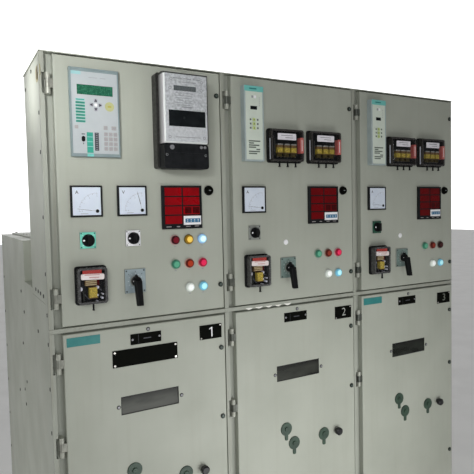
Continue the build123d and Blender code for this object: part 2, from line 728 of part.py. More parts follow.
def protection_relay(at, size, display, keys_at, columns, rows):
    """A relay with a sunk display and a field of raised keys on its face."""
    face = -size[2] + BEZEL_POCKET
    unit = bezel_unit(at, size)
    screen = beside(at, display[:2])
    unit -= slab(screen, display[2], display[3], face, face + DISPLAY_POCKET)
    for index in range(columns):
        for row in range(rows):
            shift = ((index - (columns - 1) / 2) * KEY_PITCH, (row - (rows - 1) / 2) * KEY_PITCH)
            key = beside(beside(at, keys_at), shift)
            unit += slab(key, KEY, KEY, face - DISPLAY_POCKET, face)
    return unit


def multimeter(at):
    """A square meter with windows in rows, each sunk between bars."""
    width, height, proud, behind = MULTIMETER_SIZE
    face = -proud + BEZEL_POCKET
    inside = width - 2 * BEZEL_RIM
    window = (inside - (METER_COLUMNS + 1) * METER_BAR) / METER_COLUMNS
    unit = bezel_unit(at, MULTIMETER_SIZE)
    for index in range(METER_COLUMNS):
        x = (index - (METER_COLUMNS - 1) / 2) * (window + METER_BAR)
        for row in range(METER_ROWS):
            z = height / 2 - BEZEL_RIM - (row + 0.5) * METER_ROW_HEIGHT
            place = beside(at, (x, z))
            unit -= slab(place, window, METER_ROW_HEIGHT - METER_BAR, face, face + DISPLAY_POCKET)
    return unit


def cased_relay(at, size, resets):
    """A relay under a rounded clear cover on a stepped foot, with reset pins below the cover."""
    width, height, proud, behind = size
    cover = slab(at, width - 2 * CASE_STEP, height - 2 * CASE_STEP, -proud, -CASE_FOOT)
    cover = fillet(cover.edges().filter_by(Axis.Y), CASE_CORNER)
    cover = chamfer(front_edges(cover), CASE_EDGE)
    foot = slab(at, width, height, -CASE_FOOT, 0)
    foot = fillet(foot.edges().filter_by(Axis.Y), CASE_CORNER)
    unit = cover + foot + slab(at, width - 2 * BEZEL_LAP, height - 2 * BEZEL_LAP, 0, behind)
    bottom = at[1] - height / 2 + CASE_STEP
    for index in range(resets):
        x = at[0] + (index - (resets - 1) / 2) * RESET_SPACING
        unit += column(x, deep(-proud + RESET_SETBACK), bottom - RESET_REACH, bottom, RESET_RADIUS)
    return unit


def lamp_body(at):
    """What lamps and buttons share: the flange, the stem through the sheet and the contact block."""
    flange = button(at, LAMP_FLANGE_RADIUS, -LAMP_FLANGE, 0, SEAM)
    stem = disc(at, LAMP_STEM_RADIUS, 0, LAMP_STEM)
    return flange + stem + slab(at, LAMP_BLOCK, LAMP_BLOCK, LAMP_STEM, LAMP_STEM + LAMP_BLOCK_DEPTH)


def lamp(at):
    return lamp_body(at) + button(at, LAMP_LENS_RADIUS, -LAMP_FLANGE - LAMP_LENS, -LAMP_FLANGE, LAMP_BEVEL)


def push_button(at):
    front = -LAMP_FLANGE - BUTTON_CAP
    return lamp_body(at) + button(at, BUTTON_CAP_RADIUS, front, -LAMP_FLANGE, BUTTON_BEVEL)


def switch_body(at, plate, body, collar_radius, collar):
    """The fixed part of a rotary switch: front plate, body behind the door and the shaft end."""
    front = -plate[2]
    unit = slab(at, plate[0], plate[1], front, 0)
    unit = chamfer(front_edges(unit), SEAM)
    unit += disc(at, collar_radius, front - collar, front)
    unit += disc(at, SHAFT_RADIUS, front - collar - SHAFT_LENGTH, front - collar)
    unit += disc(at, LAMP_STEM_RADIUS, 0, SHEET)
    return unit + slab(at, body[0], body[1], SHEET, SHEET + body[2])


def selector_knob(at):
    """A round skirt with a grip bar that narrows to the front."""
    back = -SELECTOR_PLATE[2] - SELECTOR_COLLAR - KNOB_CLEAR
    front = back - KNOB_SKIRT
    width, height, length = KNOB_GRIP
    skirt = button(at, KNOB_RADIUS, front, back, BEZEL_BEVEL)
    grip = extrude(facing(at, front) * Rectangle(width, height), amount=length, taper=KNOB_DRAFT)
    knob = skirt + chamfer(front_edges(grip), SHEET)
    return knob - disc(at, SHAFT_RADIUS + RUN_FIT, back - SHAFT_LENGTH, back)


def control_handle(at):
    """A pistol grip: a hub with a pointer nose on the shaft, and a grip on it that leans out."""
    back = -CONTROL_PLATE[2] - CONTROL_COLLAR - KNOB_CLEAR
    front = back - HUB_LENGTH
    nose = Polyline((-NOSE_WIDTH / 2, 0), (0, NOSE_REACH), (NOSE_WIDTH / 2, 0), close=True)
    outline = Circle(HUB_RADIUS) + make_face(nose)
    hub = extrude(facing(at, back) * outline, amount=HUB_LENGTH)
    hub = chamfer(front_edges(hub), BEZEL_BEVEL)
    x, z = at
    middle = front + GRIP_SEAT - GRIP_DEPTH / 2
    top = Pos(x, deep(middle), z + GRIP_RISE) * RectangleRounded(GRIP_WIDTH, GRIP_DEPTH, GRIP_CORNER)
    tip = Pos(x, deep(middle - GRIP_LEAN), z - GRIP_REACH) * RectangleRounded(
        GRIP_WIDTH - GRIP_TAPER, GRIP_DEPTH - GRIP_TAPER, GRIP_CORNER)
    grip = chamfer(loft([tip, top]).faces().sort_by(Axis.Z)[-1].edges(), BEZEL_BEVEL)
    return hub + grip - disc(at, SHAFT_RADIUS + RUN_FIT, back - SHAFT_LENGTH, back)


def meter_body_spot(at):
    """The middle of the meter body, which stands a little lower and further right than its base."""
    top = at[1] + METER_BASE[1] / 2 - METER_BODY_DROP
    return at[0] + METER_BODY_SHIFT, top - METER_BODY[1] / 2


def energy_meter(at):
    """A black base with two lugs on top, and a body with a display and a sunk window band."""
    width, height, proud = METER_BASE
    body_width, body_height, body_proud = METER_BODY
    base = slab(at, width, height, -proud, 0)
    base = fillet(base.edges().filter_by(Axis.Y), METER_CORNER)
    for side in (-1, 1):
        lug = beside(at, (side * METER_LUG_SPREAD, height / 2 + METER_LUG[1] / 2))
        base += slab(lug, METER_LUG[0], METER_LUG[1], -proud, -proud + METER_LUG[2])
    front = -proud - body_proud
    middle = meter_body_spot(at)
    body = slab(middle, body_width, body_height, front, -proud)
    body = chamfer(front_edges(body), METER_EDGE)
    for x, z, wide, high in (METER_DISPLAY, METER_BAND):
        body -= slab(beside(middle, (x, z)), wide, high, front, front + DISPLAY_POCKET)
    return base + body


def energy_meter_cover(at):
    """The terminal cover: rounded corners, a slanted shoulder below the meter and a parting line."""
    x, body_middle = meter_body_spot(at)
    bottom = at[1] - METER_BASE[1] / 2 - COVER_DROP
    top = body_middle - METER_BODY[1] / 2 - SEAM
    far = -METER_BASE[2]
    near = far - COVER_PROUD
    half = METER_BODY[0] / 2
    side = Polyline((deep(far), bottom), (deep(near), bottom), (deep(near), top - COVER_SHOULDER),
                    (deep(near + BEND), top), (deep(far), top), close=True)
    moulding = Pos(x - half, 0, 0) * extrude(make_face(Plane.YZ * side), amount=2 * half, dir=(1, 0, 0))
    middle = (x, (bottom + top) / 2)
    outline = facing(middle, far) * RectangleRounded(2 * half, top - bottom, COVER_CORNER)
    cover = moulding & extrude(outline, amount=COVER_PROUD)
    return cover - slab((x, top - COVER_SPLIT), 2 * half, SEAM, near, near + SEAM)


# Pieces of the breaker door
def hv_window(at):
    width, height = WINDOW_SIZE
    pane = slab(at, width + 2 * WINDOW_LAP, height + 2 * WINDOW_LAP, SHEET, SHEET + PANE)
    return fillet(pane.edges().filter_by(Axis.Y), WINDOW_LAP)


def key_cover(at):
    """A round cover that hangs in front of a key hole, with a tail to lift it by."""
    width, length = KEY_COVER_TAIL
    tail = Pos(0, -length / 2) * RectangleRounded(width, length, KEY_COVER_TAIL_CORNER)
    cover = extrude(facing(at, 0) * (Circle(KEY_COVER_RADIUS) + tail), amount=KEY_COVER)
    cover = chamfer(front_edges(cover), SEAM)
    return cover + button(at, KEY_COVER_NECK_RADIUS, -2 * KEY_COVER, -KEY_COVER, SEAM)


def door_knob(at):
    end = -DOOR_KNOB_STEM - DOOR_KNOB_LENGTH
    cap = button(at, DOOR_KNOB_RADIUS, end, -DOOR_KNOB_STEM, DOOR_KNOB_BEVEL)
    return disc(at, DOOR_KNOB_STEM_RADIUS, -DOOR_KNOB_STEM, 0) + cap


# What each bay carries. The first bay has the large relay, the energy meter, a voltmeter with a
# second selector and three rows of lamps; the others have a feeder relay and two covered relays.
def lamp_places(bay):
    places = []
    for row in range(LAMP_ROWS[min(bay, len(LAMP_ROWS) - 1)]):
        for index in range(LAMP_COLUMNS):
            if row > 0 or index > 0:
                places.append(beside(LAMPS_AT, (index * LAMP_SPACING, row * LAMP_ROW_SPACING)))
    return places


def selector_places(bay):
    return [SELECTOR_AT, SECOND_SELECTOR_AT] if bay == 0 else [SELECTOR_AT]


def dial_places(bay):
    return [AMMETER_AT, VOLTMETER_AT] if bay == 0 else [AMMETER_AT]


def cased_units(bay):
    trip = [(TRIP_AT, TRIP_SIZE, TRIP_RESETS)]
    return trip if bay == 0 else trip + [(place, AUX_SIZE, AUX_RESETS) for place in AUX_AT]


def main_relay(bay):
    if bay == 0:
        return RELAY_AT, RELAY_SIZE
    return FEEDER_AT, FEEDER_SIZE


def relay_unit(bay):
    if bay == 0:
        return protection_relay(lv_spot(bay, RELAY_AT), RELAY_SIZE, RELAY_DISPLAY, RELAY_KEYS_AT,
                                RELAY_KEY_COLUMNS, RELAY_KEY_ROWS)
    return protection_relay(lv_spot(bay, FEEDER_AT), FEEDER_SIZE, FEEDER_DISPLAY, FEEDER_KEYS_AT,
                            FEEDER_KEY_COLUMNS, FEEDER_KEY_ROWS)


def lv_door(bay):
    door = door_tray(bay, LV_DOOR_BOTTOM, LV_DOOR_TOP)
    flush = [main_relay(bay), (MULTIMETER_AT, MULTIMETER_SIZE)]
    flush += [(place, METER_SIZE) for place in dial_places(bay)]
    flush += [unit[:2] for unit in cased_units(bay)]
    for place, size in flush:
        door -= unit_cut(lv_spot(bay, place), size)
    for place in lamp_places(bay) + selector_places(bay) + [BUTTON_AT, CONTROL_AT]:
        door -= round_cut(lv_spot(bay, place), LAMP_STEM_RADIUS)
    for level in LV_LATCH_LEVELS:
        door -= round_cut((bay_x(bay, LV_LATCH_X), level), LATCH_BODY_RADIUS)
    return door


def hv_door(bay):
    door = door_tray(bay, HV_DOOR_BOTTOM, HV_DOOR_TOP)
    for local in HAT_PLACES:
        door += stiffener(bay, local)
    door -= sheet_cut(hv_spot(bay, WINDOW_AT), *WINDOW_SIZE)
    for level in HV_LATCH_LEVELS:
        door -= round_cut((bay_x(bay, HV_LATCH_X), level), LATCH_BODY_RADIUS)
    return door


def panel_meters(bay):
    dials = [bezel_unit(lv_spot(bay, place), METER_SIZE) for place in dial_places(bay)]
    return dials + [multimeter(lv_spot(bay, MULTIMETER_AT))]


def switch_bodies(bay):
    bodies = []
    for place in selector_places(bay):
        bodies.append(switch_body(lv_spot(bay, place), SELECTOR_PLATE, SELECTOR_BODY,
                                  SELECTOR_COLLAR_RADIUS, SELECTOR_COLLAR))
    bodies.append(switch_body(lv_spot(bay, CONTROL_AT), CONTROL_PLATE, CONTROL_BODY,
                              CONTROL_COLLAR_RADIUS, CONTROL_COLLAR))
    return bodies


def save(name, solids):
    shape = solids[0] if len(solids) == 1 else Compound(children=list(solids))
    export_step(shape, f"parts/{name}.step")


os.makedirs("parts", exist_ok=True)

save("base_rails", base_rails())
save("base_cross_rails", base_cross_rails())
save("floor_plates", floor_plates())
save("front_posts", front_posts())
save("rear_posts", rear_posts())
save("front_rails", front_rails())
save("trim_strips", trim_strips())
save("end_walls", end_walls())
save("partitions", partitions())
save("shutter_plates", shutter_plates())
save("hv_roofs", hv_roofs())
save("busbar_fronts", busbar_fronts())
save("rear_covers", rear_covers())
save("lv_back_plates", lv_back_plates())
save("lv_floors_and_roofs", lv_floors_and_roofs())
save("breaker_trucks", [breaker_truck(bay) for bay in range(BAYS)])
save("hinge_posts", [hinge_fixed(bay, level) for bay in range(BAYS)
                     for level in LV_HINGE_LEVELS + HV_HINGE_LEVELS])

for bay in range(BAYS):
    number = bay + 1
    lamps = [lamp(lv_spot(bay, place)) for place in lamp_places(bay)]
    covers = [key_cover(hv_spot(bay, place)) for place in KEY_COVERS_AT]
    save(f"lv_door_{number}", [lv_door(bay)])
    save(f"lv_door_fittings_{number}", door_fittings(bay, LV_HINGE_LEVELS, LV_LATCH_X, LV_LATCH_LEVELS))
    save(f"protection_relay_{number}", [relay_unit(bay)])
    save(f"panel_meters_{number}", panel_meters(bay))
    save(f"trip_relays_{number}", [cased_relay(lv_spot(bay, place), size, resets)
                                   for place, size, resets in cased_units(bay)])
    save(f"lamps_{number}", lamps + [push_button(lv_spot(bay, BUTTON_AT))])
    save(f"switch_bodies_{number}", switch_bodies(bay))
    for letter, place in zip("ab", selector_places(bay)):
        save(f"selector_knob_{number}{letter}", [selector_knob(lv_spot(bay, place))])
    save(f"control_handle_{number}", [control_handle(lv_spot(bay, CONTROL_AT))])
    save(f"hv_door_{number}", [hv_door(bay)])
    save(f"hv_window_{number}", [hv_window(hv_spot(bay, WINDOW_AT))])
    save(f"hv_door_fittings_{number}", door_fittings(bay, HV_HINGE_LEVELS, HV_LATCH_X, HV_LATCH_LEVELS))
    save(f"hv_door_covers_{number}", covers + [door_knob(hv_spot(bay, DOOR_KNOB_AT))])

save("energy_meter_1", [energy_meter(lv_spot(0, ENERGY_AT))])
save("energy_meter_cover_1", [energy_meter_cover(lv_spot(0, ENERGY_AT))])
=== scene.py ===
import json
import math
import random

import bmesh
import bpy
from mathutils import Matrix, Vector

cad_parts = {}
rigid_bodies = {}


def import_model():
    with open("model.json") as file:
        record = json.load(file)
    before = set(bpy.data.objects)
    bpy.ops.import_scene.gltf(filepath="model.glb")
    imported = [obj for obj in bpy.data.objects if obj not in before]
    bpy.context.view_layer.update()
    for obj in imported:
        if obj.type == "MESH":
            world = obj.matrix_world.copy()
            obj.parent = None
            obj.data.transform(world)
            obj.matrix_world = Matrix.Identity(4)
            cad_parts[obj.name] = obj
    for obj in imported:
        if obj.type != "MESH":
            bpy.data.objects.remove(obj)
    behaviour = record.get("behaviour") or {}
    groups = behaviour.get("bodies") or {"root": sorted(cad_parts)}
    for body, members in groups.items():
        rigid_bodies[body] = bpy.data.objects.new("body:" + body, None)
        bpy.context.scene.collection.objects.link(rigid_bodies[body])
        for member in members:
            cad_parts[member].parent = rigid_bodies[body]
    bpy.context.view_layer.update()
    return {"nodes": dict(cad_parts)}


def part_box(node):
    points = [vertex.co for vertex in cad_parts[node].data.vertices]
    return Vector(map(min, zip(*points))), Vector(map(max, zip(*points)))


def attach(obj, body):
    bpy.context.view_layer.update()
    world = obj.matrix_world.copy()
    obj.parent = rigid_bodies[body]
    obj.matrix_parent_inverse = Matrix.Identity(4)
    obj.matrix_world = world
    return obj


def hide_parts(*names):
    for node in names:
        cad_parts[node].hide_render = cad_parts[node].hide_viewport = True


for left_over in list(bpy.data.objects):
    bpy.data.objects.remove(left_over)
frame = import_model()

# Places on a door are in millimetres from the left side of its bay and from the door's lower edge
# (instrument doors) or its upper edge (breaker doors, so they are negative). Heights stand out
# from the surface, and what lies behind it is negative.
MM = 0.001
BAYS = (1, 2, 3)
base_low, base_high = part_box("base_rails")
lv_low, hv_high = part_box("lv_door_1")[0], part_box("hv_door_1")[1]
meter_low, meter_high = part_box("energy_meter_1")
PITCH = (base_high.x - base_low.x) / len(BAYS)
FACE_Y = lv_low.y
RIGHT, BACK, UP = Vector((1, 0, 0)), Vector((0, 1, 0)), Vector((0, 0, 1))


def surface(origin, across, upward):
    """A matrix from millimetres on a flat surface and out of it to the row frame in metres."""
    turned = Matrix((across, upward, across.cross(upward))).transposed().to_4x4()
    return Matrix.Translation(origin) @ turned @ Matrix.Scale(MM, 4)


def bay_left(bay):
    return base_low.x + (bay - 1) * PITCH


def lv_face(bay):
    return surface(Vector((bay_left(bay), FACE_Y, lv_low.z)), RIGHT, UP)


def hv_face(bay):
    return surface(Vector((bay_left(bay), FACE_Y, hv_high.z)), RIGHT, UP)


def placed(name, data):
    made = bpy.data.objects.new(name, data)
    bpy.context.scene.collection.objects.link(made)
    return made


# Finishes
def tint(red, green, blue):
    """A linear colour from the 0 to 255 values of a swatch."""
    return tuple(((c / 255 + 0.055) / 1.055) ** 2.4 for c in (red, green, blue)) + (1,)


def scaled(swatch, share):
    return tuple(c * share for c in swatch)


class Nodes:
    """Short calls that add nodes to a tree."""

    def __init__(self, tree):
        self.tree = tree

    def add(self, kind, **inputs):
        node = self.tree.nodes.new(kind)
        for key, value in inputs.items():
            self.feed(node.inputs[key], value)
        return node

    def feed(self, socket, value):
        if isinstance(value, bpy.types.NodeSocket):
            self.tree.links.new(value, socket)
        else:
            socket.default_value = value

    def span(self, value, low, high, to_low=0, to_high=1):
        limits = {"From Min": low, "From Max": high, "To Min": to_low, "To Max": to_high}
        return self.add("ShaderNodeMapRange", Value=value, **limits).outputs[0]


FINISHES = {}


class Finish(Nodes):
    """A material with one Principled shader, and short calls that add texture nodes to it."""

    def __init__(self, name, **sockets):
        material = FINISHES[name] = bpy.data.materials.new(name)
        material.use_nodes = True
        super().__init__(material.node_tree)
        self.shader = self.tree.nodes["Principled BSDF"]
        self.place = self.add("ShaderNodeTexCoord").outputs["Object"]
        self.axes = self.add("ShaderNodeSeparateXYZ", Vector=self.place).outputs
        for key, value in sockets.items():
            self.shader.inputs[key.replace("_", " ")].default_value = value

    def noise(self, size, detail=3, stretch=(1, 1, 1)):
        mapped = self.add("ShaderNodeMapping", Vector=self.place, Scale=stretch).outputs[0]
        return self.add("ShaderNodeTexNoise", Vector=mapped, Scale=1 / size, Detail=detail).outputs[0]

    def sum(self, operation, first, second=0):
        node = self.add("ShaderNodeMath")
        node.operation = operation
        self.feed(node.inputs[0], first)
        self.feed(node.inputs[1], second)
        return node.outputs[0]

    def beyond(self, axis, level):
        return self.sum("GREATER_THAN", self.axes[axis], level)

    def mix(self, factor, first, second):
        node = self.add("ShaderNodeMix")
        node.data_type = "RGBA"
        for index, value in ((0, factor), (6, first), (7, second)):
            self.feed(node.inputs[index], value)
        return node.outputs[2]

    def swatches(self, factor, first, second):
        return self.mix(factor, tint(*first), tint(*second))

    def give(self, key, value):
        self.feed(self.shader.inputs[key], value)

    def bump(self, height, depth, strength=1):
        node = self.add("ShaderNodeBump", Height=height, Distance=depth, Strength=strength)
        chain = self.shader.inputs["Normal"].links
        if chain:
            self.feed(node.inputs["Normal"], chain[0].from_socket)
        self.give("Normal", node.outputs[0])


def moulded(name, main, other, rough=0.5, cloud=0.04, grain=0.0012, depth=0.00003, **sockets):
    """Two close colours in soft clouds, with an uneven gloss and a fine grain."""
    finish = Finish(name, **sockets)
    clouds, fine = finish.noise(cloud), finish.noise(grain, 2)
    speckled = finish.sum("ADD", clouds, finish.sum("MULTIPLY", fine, 0.35))
    finish.give("Base Color", finish.swatches(finish.span(speckled, 0.45, 0.9), main, other))
    finish.give("Roughness", finish.span(clouds, 0.3, 0.7, rough - 0.07, rough + 0.07))
    finish.bump(fine, depth)


def two_part(name, axis, level, below, above, rough, **sockets):
    """A finish that changes at a level across one piece, each side with its own two colours."""
    finish = Finish(name, **sockets)
    clouds, fine = finish.noise(0.03), finish.noise(0.0012, 2)
    side = finish.beyond(axis, level)
    shades = [finish.swatches(finish.span(clouds, 0.4, 0.65), *pair) for pair in (below, above)]
    finish.give("Base Color", finish.mix(side, *shades))
    gloss, uneven = finish.span(side, 0, 1, *rough), finish.span(clouds, 0, 1, -0.06, 0.06)
    finish.give("Roughness", finish.sum("ADD", gloss, uneven))
    finish.bump(fine, 0.00004)


def capped(name, main, other, shell, worn):
    """The energy meter: a silver front with a painted highlight along its bevel, over sides with painted
    shade that darkens towards the base.
    """
    finish = Finish(name, Specular_IOR_Level=0.3)
    clouds, fine = finish.noise(0.008, 4), finish.noise(0.0012, 2)
    silver = 1
    for axis, level in ((0, meter_high.x - SHELL_RIGHT), (2, meter_high.z - SHELL_TOP)):
        silver = finish.sum("MULTIPLY", silver, finish.sum("LESS_THAN", finish.axes[axis], level))
    dark = finish.swatches(finish.span(clouds, 0.4, 0.65), shell, worn)
    print_area = finish.beyond(2, meter_high.z - PRINT_BOTTOM)
    mottle = finish.span(clouds, 0.35, 0.7)
    mottle = finish.sum("MULTIPLY", mottle, finish.span(print_area, 0, 1, 0.45, 0.9))
    bright = finish.swatches(mottle, main, other)
    # The sides: pale near the front and darker towards the base, a painted shade.
    depth = finish.span(finish.axes[1], meter_low.y + BEVEL, meter_low.y + SHELL_DEPTH)
    side = finish.swatches(depth, (218, 216, 220), (104, 104, 102))
    behind = finish.beyond(1, meter_low.y + BEVEL)
    # The bevel between the front and the sides: a near white painted highlight.
    lit = finish.mix(finish.beyond(1, meter_low.y + BEVEL / 8), bright, tint(236, 240, 238))
    body = finish.mix(behind, lit, side)
    shelled = finish.beyond(1, meter_low.y + SHELL_DEPTH)
    finish.give("Base Color", finish.mix(shelled, finish.mix(silver, dark, body), dark))
    finish.give("Roughness", finish.span(clouds, 0.3, 0.7, 0.32, 0.46))
    finish.bump(fine, 0.00004)


def brushed(name, main, other, rough):
    """Metal with fine lines along one direction and duller patches."""
    finish = Finish(name, Metallic=0.9)
    lines, clouds = finish.noise(0.0015, 3, (1, 1, 0.06)), finish.noise(0.03)
    finish.give("Base Color", finish.swatches(finish.span(lines, 0.35, 0.65), main, other))
    finish.give("Roughness", finish.span(clouds, 0.35, 0.7, rough - 0.08, rough + 0.12))
    finish.bump(lines, 0.00003)


def painted_sheet(name, main, shade, dusty, streaks=0.12):
    """Stoved paint on sheet steel: orange peel, faint runs of dirt, and dust near the floor."""
    finish = Finish(name, Specular_IOR_Level=0.3)
    clouds = finish.noise(0.22, 4)
    runs = finish.noise(0.018, 4, (1, 1, 0.05))
    peel = finish.noise(0.0016, 1)
    paint = finish.swatches(finish.span(clouds, 0.35, 0.7), main, shade)
    worn = finish.sum("MULTIPLY", finish.span(runs, 0.5, 0.8), streaks)
    paint = finish.mix(worn, paint, tint(*dusty))
    near_floor = finish.span(finish.axes[2], 0.02, 0.5, 0.5, 0)
    dust = finish.sum("MULTIPLY", near_floor, finish.span(clouds, 0.3, 0.7))
    finish.give("Base Color", finish.mix(dust, paint, tint(*dusty)))
    finish.give("Roughness", finish.span(clouds, 0.3, 0.7, 0.38, 0.55))
    finish.bump(peel, 0.00006)
    finish.bump(clouds, 0.0006, 0.35)


def zinc(name):
    """Galvanised sheet with its crystal pattern."""
    finish = Finish(name, Metallic=0.75)
    cells = finish.add("ShaderNodeTexVoronoi", Vector=finish.place, Scale=70)
    grey = finish.span(cells.outputs["Color"], 0, 1)
    finish.give("Base Color", finish.swatches(grey, (128, 132, 134), (176, 180, 182)))
    finish.give("Roughness", finish.span(grey, 0, 1, 0.35, 0.55))
    finish.bump(cells.outputs["Distance"], 0.0001)


def lcd(name, dark, light, cell=0.0042):
    """A liquid crystal display: faint rows of cells behind a dark tinted glass."""
    finish = Finish(name, Roughness=0.16, Coat_Weight=0.6, Coat_Roughness=0.05)
    rows = finish.sum("SINE", finish.sum("MULTIPLY", finish.axes[2], math.tau / cell))
    blocks = finish.noise(cell, 1, (1, 1, 0.6))
    lit = finish.sum("MULTIPLY", finish.span(rows, -0.2, 0.6), finish.span(blocks, 0.45, 0.62))
    finish.give("Base Color", finish.swatches(lit, dark, light))


def clear_plastic(name, shade, thin, edge):
    """A clear moulded cover: nearly invisible face on, greyer at its rounded edges."""
    finish = Finish(name, Roughness=0.08, Coat_Weight=0.5, Coat_Roughness=0.04)
    facing = finish.add("ShaderNodeLayerWeight", Blend=0.35).outputs["Facing"]
    smears = finish.noise(0.02)
    haze = finish.span(smears, 0.5, 0.8, 0, 0.08)
    finish.give("Base Color", finish.swatches(finish.span(smears, 0.3, 0.8), shade, (96, 94, 98)))
    finish.give("Alpha", finish.sum("ADD", finish.span(facing, 0.15, 0.9, thin, edge), haze))


def lens(name, colour, rim, glow):
    """A ribbed lamp lens in coloured plastic, lit from inside where it glows."""
    finish = Finish(name, Roughness=0.28, Specular_IOR_Level=0.25)
    slant = finish.sum("ADD", finish.axes[0], finish.axes[2])
    ribs = finish.sum("SINE", finish.sum("MULTIPLY", slant, RIBS))
    ring = finish.add("ShaderNodeLayerWeight", Blend=0.3).outputs["Facing"]
    shade = finish.swatches(finish.span(ring, 0.3, 0.9), colour, rim)
    finish.give("Base Color", shade)
    finish.bump(ribs, 0.00025)
    if glow:
        finish.give("Emission Color", shade)
        finish.give("Emission Strength", glow)


def misted(name, top, lighter, darker):
    """The inspection pane: tinted sheet gone dull over a dim interior, with a painted shadow below its
    upper edge.
    """
    finish = Finish(name, Roughness=0.35, Specular_IOR_Level=0.2)
    smears = finish.noise(0.05, 3, (0.4, 1, 1))
    # A band under the upper edge turns to half the lighter grey: a painted shadow.
    shadow = finish.span(finish.axes[2], top - 0.022, top - 0.004)
    grey = finish.swatches(finish.span(smears, 0.35, 0.65), darker, lighter)
    finish.give("Base Color", finish.mix(shadow, grey, tint(*scaled(lighter, 0.5))))
    finish.give("Alpha", finish.span(smears, 0.3, 0.7, 0.86, 0.94))


# Depths and levels in metres where a finish changes, from the front, top or left of what it covers
SHELL_DEPTH, SHELL_TOP, SHELL_RIGHT, BEVEL, PRINT_BOTTOM = 0.044, 0.0165, 0.0065, 0.005, 0.15
HOUSING_DEPTH, KNOB_LEFT, PANE_TOP = 0.26, 0.462, 0.224
RIBS = 2600  # of a lens, in radians for each metre
DULL = {"Specular_IOR_Level": 0.12}
MOULDED = {  # two swatches, then the roughness, the size of the clouds, and the grain with its depth
    "relay_bezel": ((138, 154, 155), (126, 142, 144), 0.45),
    "feeder_bezel": ((180, 194, 194), (166, 180, 182), 0.45),
    "switch_plate": ((150, 154, 148), (138, 142, 136), 0.4, 0.03),
    "relay_face": ((188, 194, 196), (180, 187, 189), 0.42, 0.05, 0.001),
    "feeder_face": ((222, 232, 219), (214, 224, 211), 0.42, 0.05, 0.001),
    "teal_print": ((56, 166, 144), (50, 152, 132), 0.4, 0.02),
    "dark_teal_print": ((44, 128, 112), (38, 116, 104), 0.4, 0.02),
    "teal_plate": ((40, 126, 126), (52, 138, 134), 0.36, 0.03),
    "band_teal": ((112, 196, 188), (120, 202, 194), 0.36, 0.03),
    "selector_teal": ((132, 234, 210), (122, 222, 198), 0.4, 0.03),
    "selector_green": ((44, 96, 74), (36, 82, 64), 0.4, 0.03),
    "pale_teal_print": ((160, 205, 205), (150, 196, 198), 0.4, 0.02),
    "yellow_print": ((188, 190, 138), (180, 182, 130), 0.4, 0.02),
    "ink": ((58, 60, 66), (70, 72, 78), 0.5, 0.01),
    "pale_ink": ((150, 152, 158), (160, 162, 166), 0.5, 0.01),
    "key_grey": ((172, 168, 166), (160, 156, 156), 0.5, 0.01),
    "white_plate": ((252, 252, 253), (244, 245, 248), 0.4, 0.03, 0.0009),
    "dial_white": ((224, 233, 245), (216, 226, 240), 0.4, 0.03, 0.0009),
    "faded_label": ((254, 246, 244), (246, 230, 228), 0.4, 0.02, 0.0009),
    "digit_blue": ((44, 108, 148), (60, 124, 160), 0.4, 0.01),
    "red_label": ((188, 58, 48), (170, 48, 42), 0.4, 0.01),
    "pink_strip": ((196, 92, 88), (212, 120, 112), 0.35, 0.02),
    "coil_tape": ((238, 214, 92), (104, 84, 24), 0.4, 0.0035, 0.0006, 0.00006),
    "coil_frame": ((128, 100, 58), (98, 74, 44), 0.5, 0.008),
    "pale_brass": ((168, 160, 124), (150, 140, 96), 0.4, 0.006),
    "gasket_rubber": ((24, 25, 24), (34, 35, 34), 0.7, 0.01),
    "olive_print": ((186, 178, 84), (172, 164, 74), 0.4, 0.02),
    "case_rim": ((104, 104, 104), (30, 30, 32), 0.25, 0.008, 0.001, 0.00002),
    "dark_rim": ((70, 66, 62), (18, 18, 20), 0.25, 0.006, 0.001, 0.00002),
    "arrow_key": ((176, 176, 184), (160, 160, 170), 0.4, 0.03, 0.0009),
    "meter_silver": ((196, 198, 202), (182, 184, 190), 0.34, 0.03),
    "olive_dark": ((84, 72, 24), (56, 48, 16), 0.5, 0.006),
    "latch_eye": ((84, 98, 90), (66, 78, 70), 0.4, 0.006),
    "faded_pink": ((222, 168, 164), (206, 150, 146), 0.4, 0.01),
    "faded_ink": ((100, 110, 100), (80, 90, 82), 0.5, 0.004),
    "key_yellow": ((208, 226, 146), (198, 216, 138), 0.4, 0.01),
    "pale_core": ((206, 192, 152), (176, 160, 122), 0.4, 0.004),
    "bright_spot": ((238, 240, 250), (206, 208, 222), 0.3, 0.004),
    "lilac_label": ((253, 250, 255), (242, 238, 247), 0.4, 0.02, 0.0009),
    "mark_grey": ((138, 142, 144), (124, 128, 130), 0.5, 0.01),
    "torn_film": ((254, 254, 248), (240, 240, 228), 0.6, 0.01, 0.001, 0.0001),
    "dark_switch_plate": ((122, 142, 136), (108, 128, 122), 0.4, 0.03),
    "control_plate": ((160, 176, 180), (146, 162, 168), 0.4, 0.03),
    # The second numeral grey is the first one made darker for the bay further right: painted shade.
    "numeral_grey": ((198, 201, 194), (180, 184, 176), 0.4, 0.03, 0.0009),
    "numeral_shaded": ((128, 132, 122), (110, 114, 104), 0.4, 0.03, 0.0009),
}
for name, values in MOULDED.items():
    moulded(name, *values)
painted_sheet("panel_grey", (179, 183, 171), (171, 175, 163), (150, 146, 130))
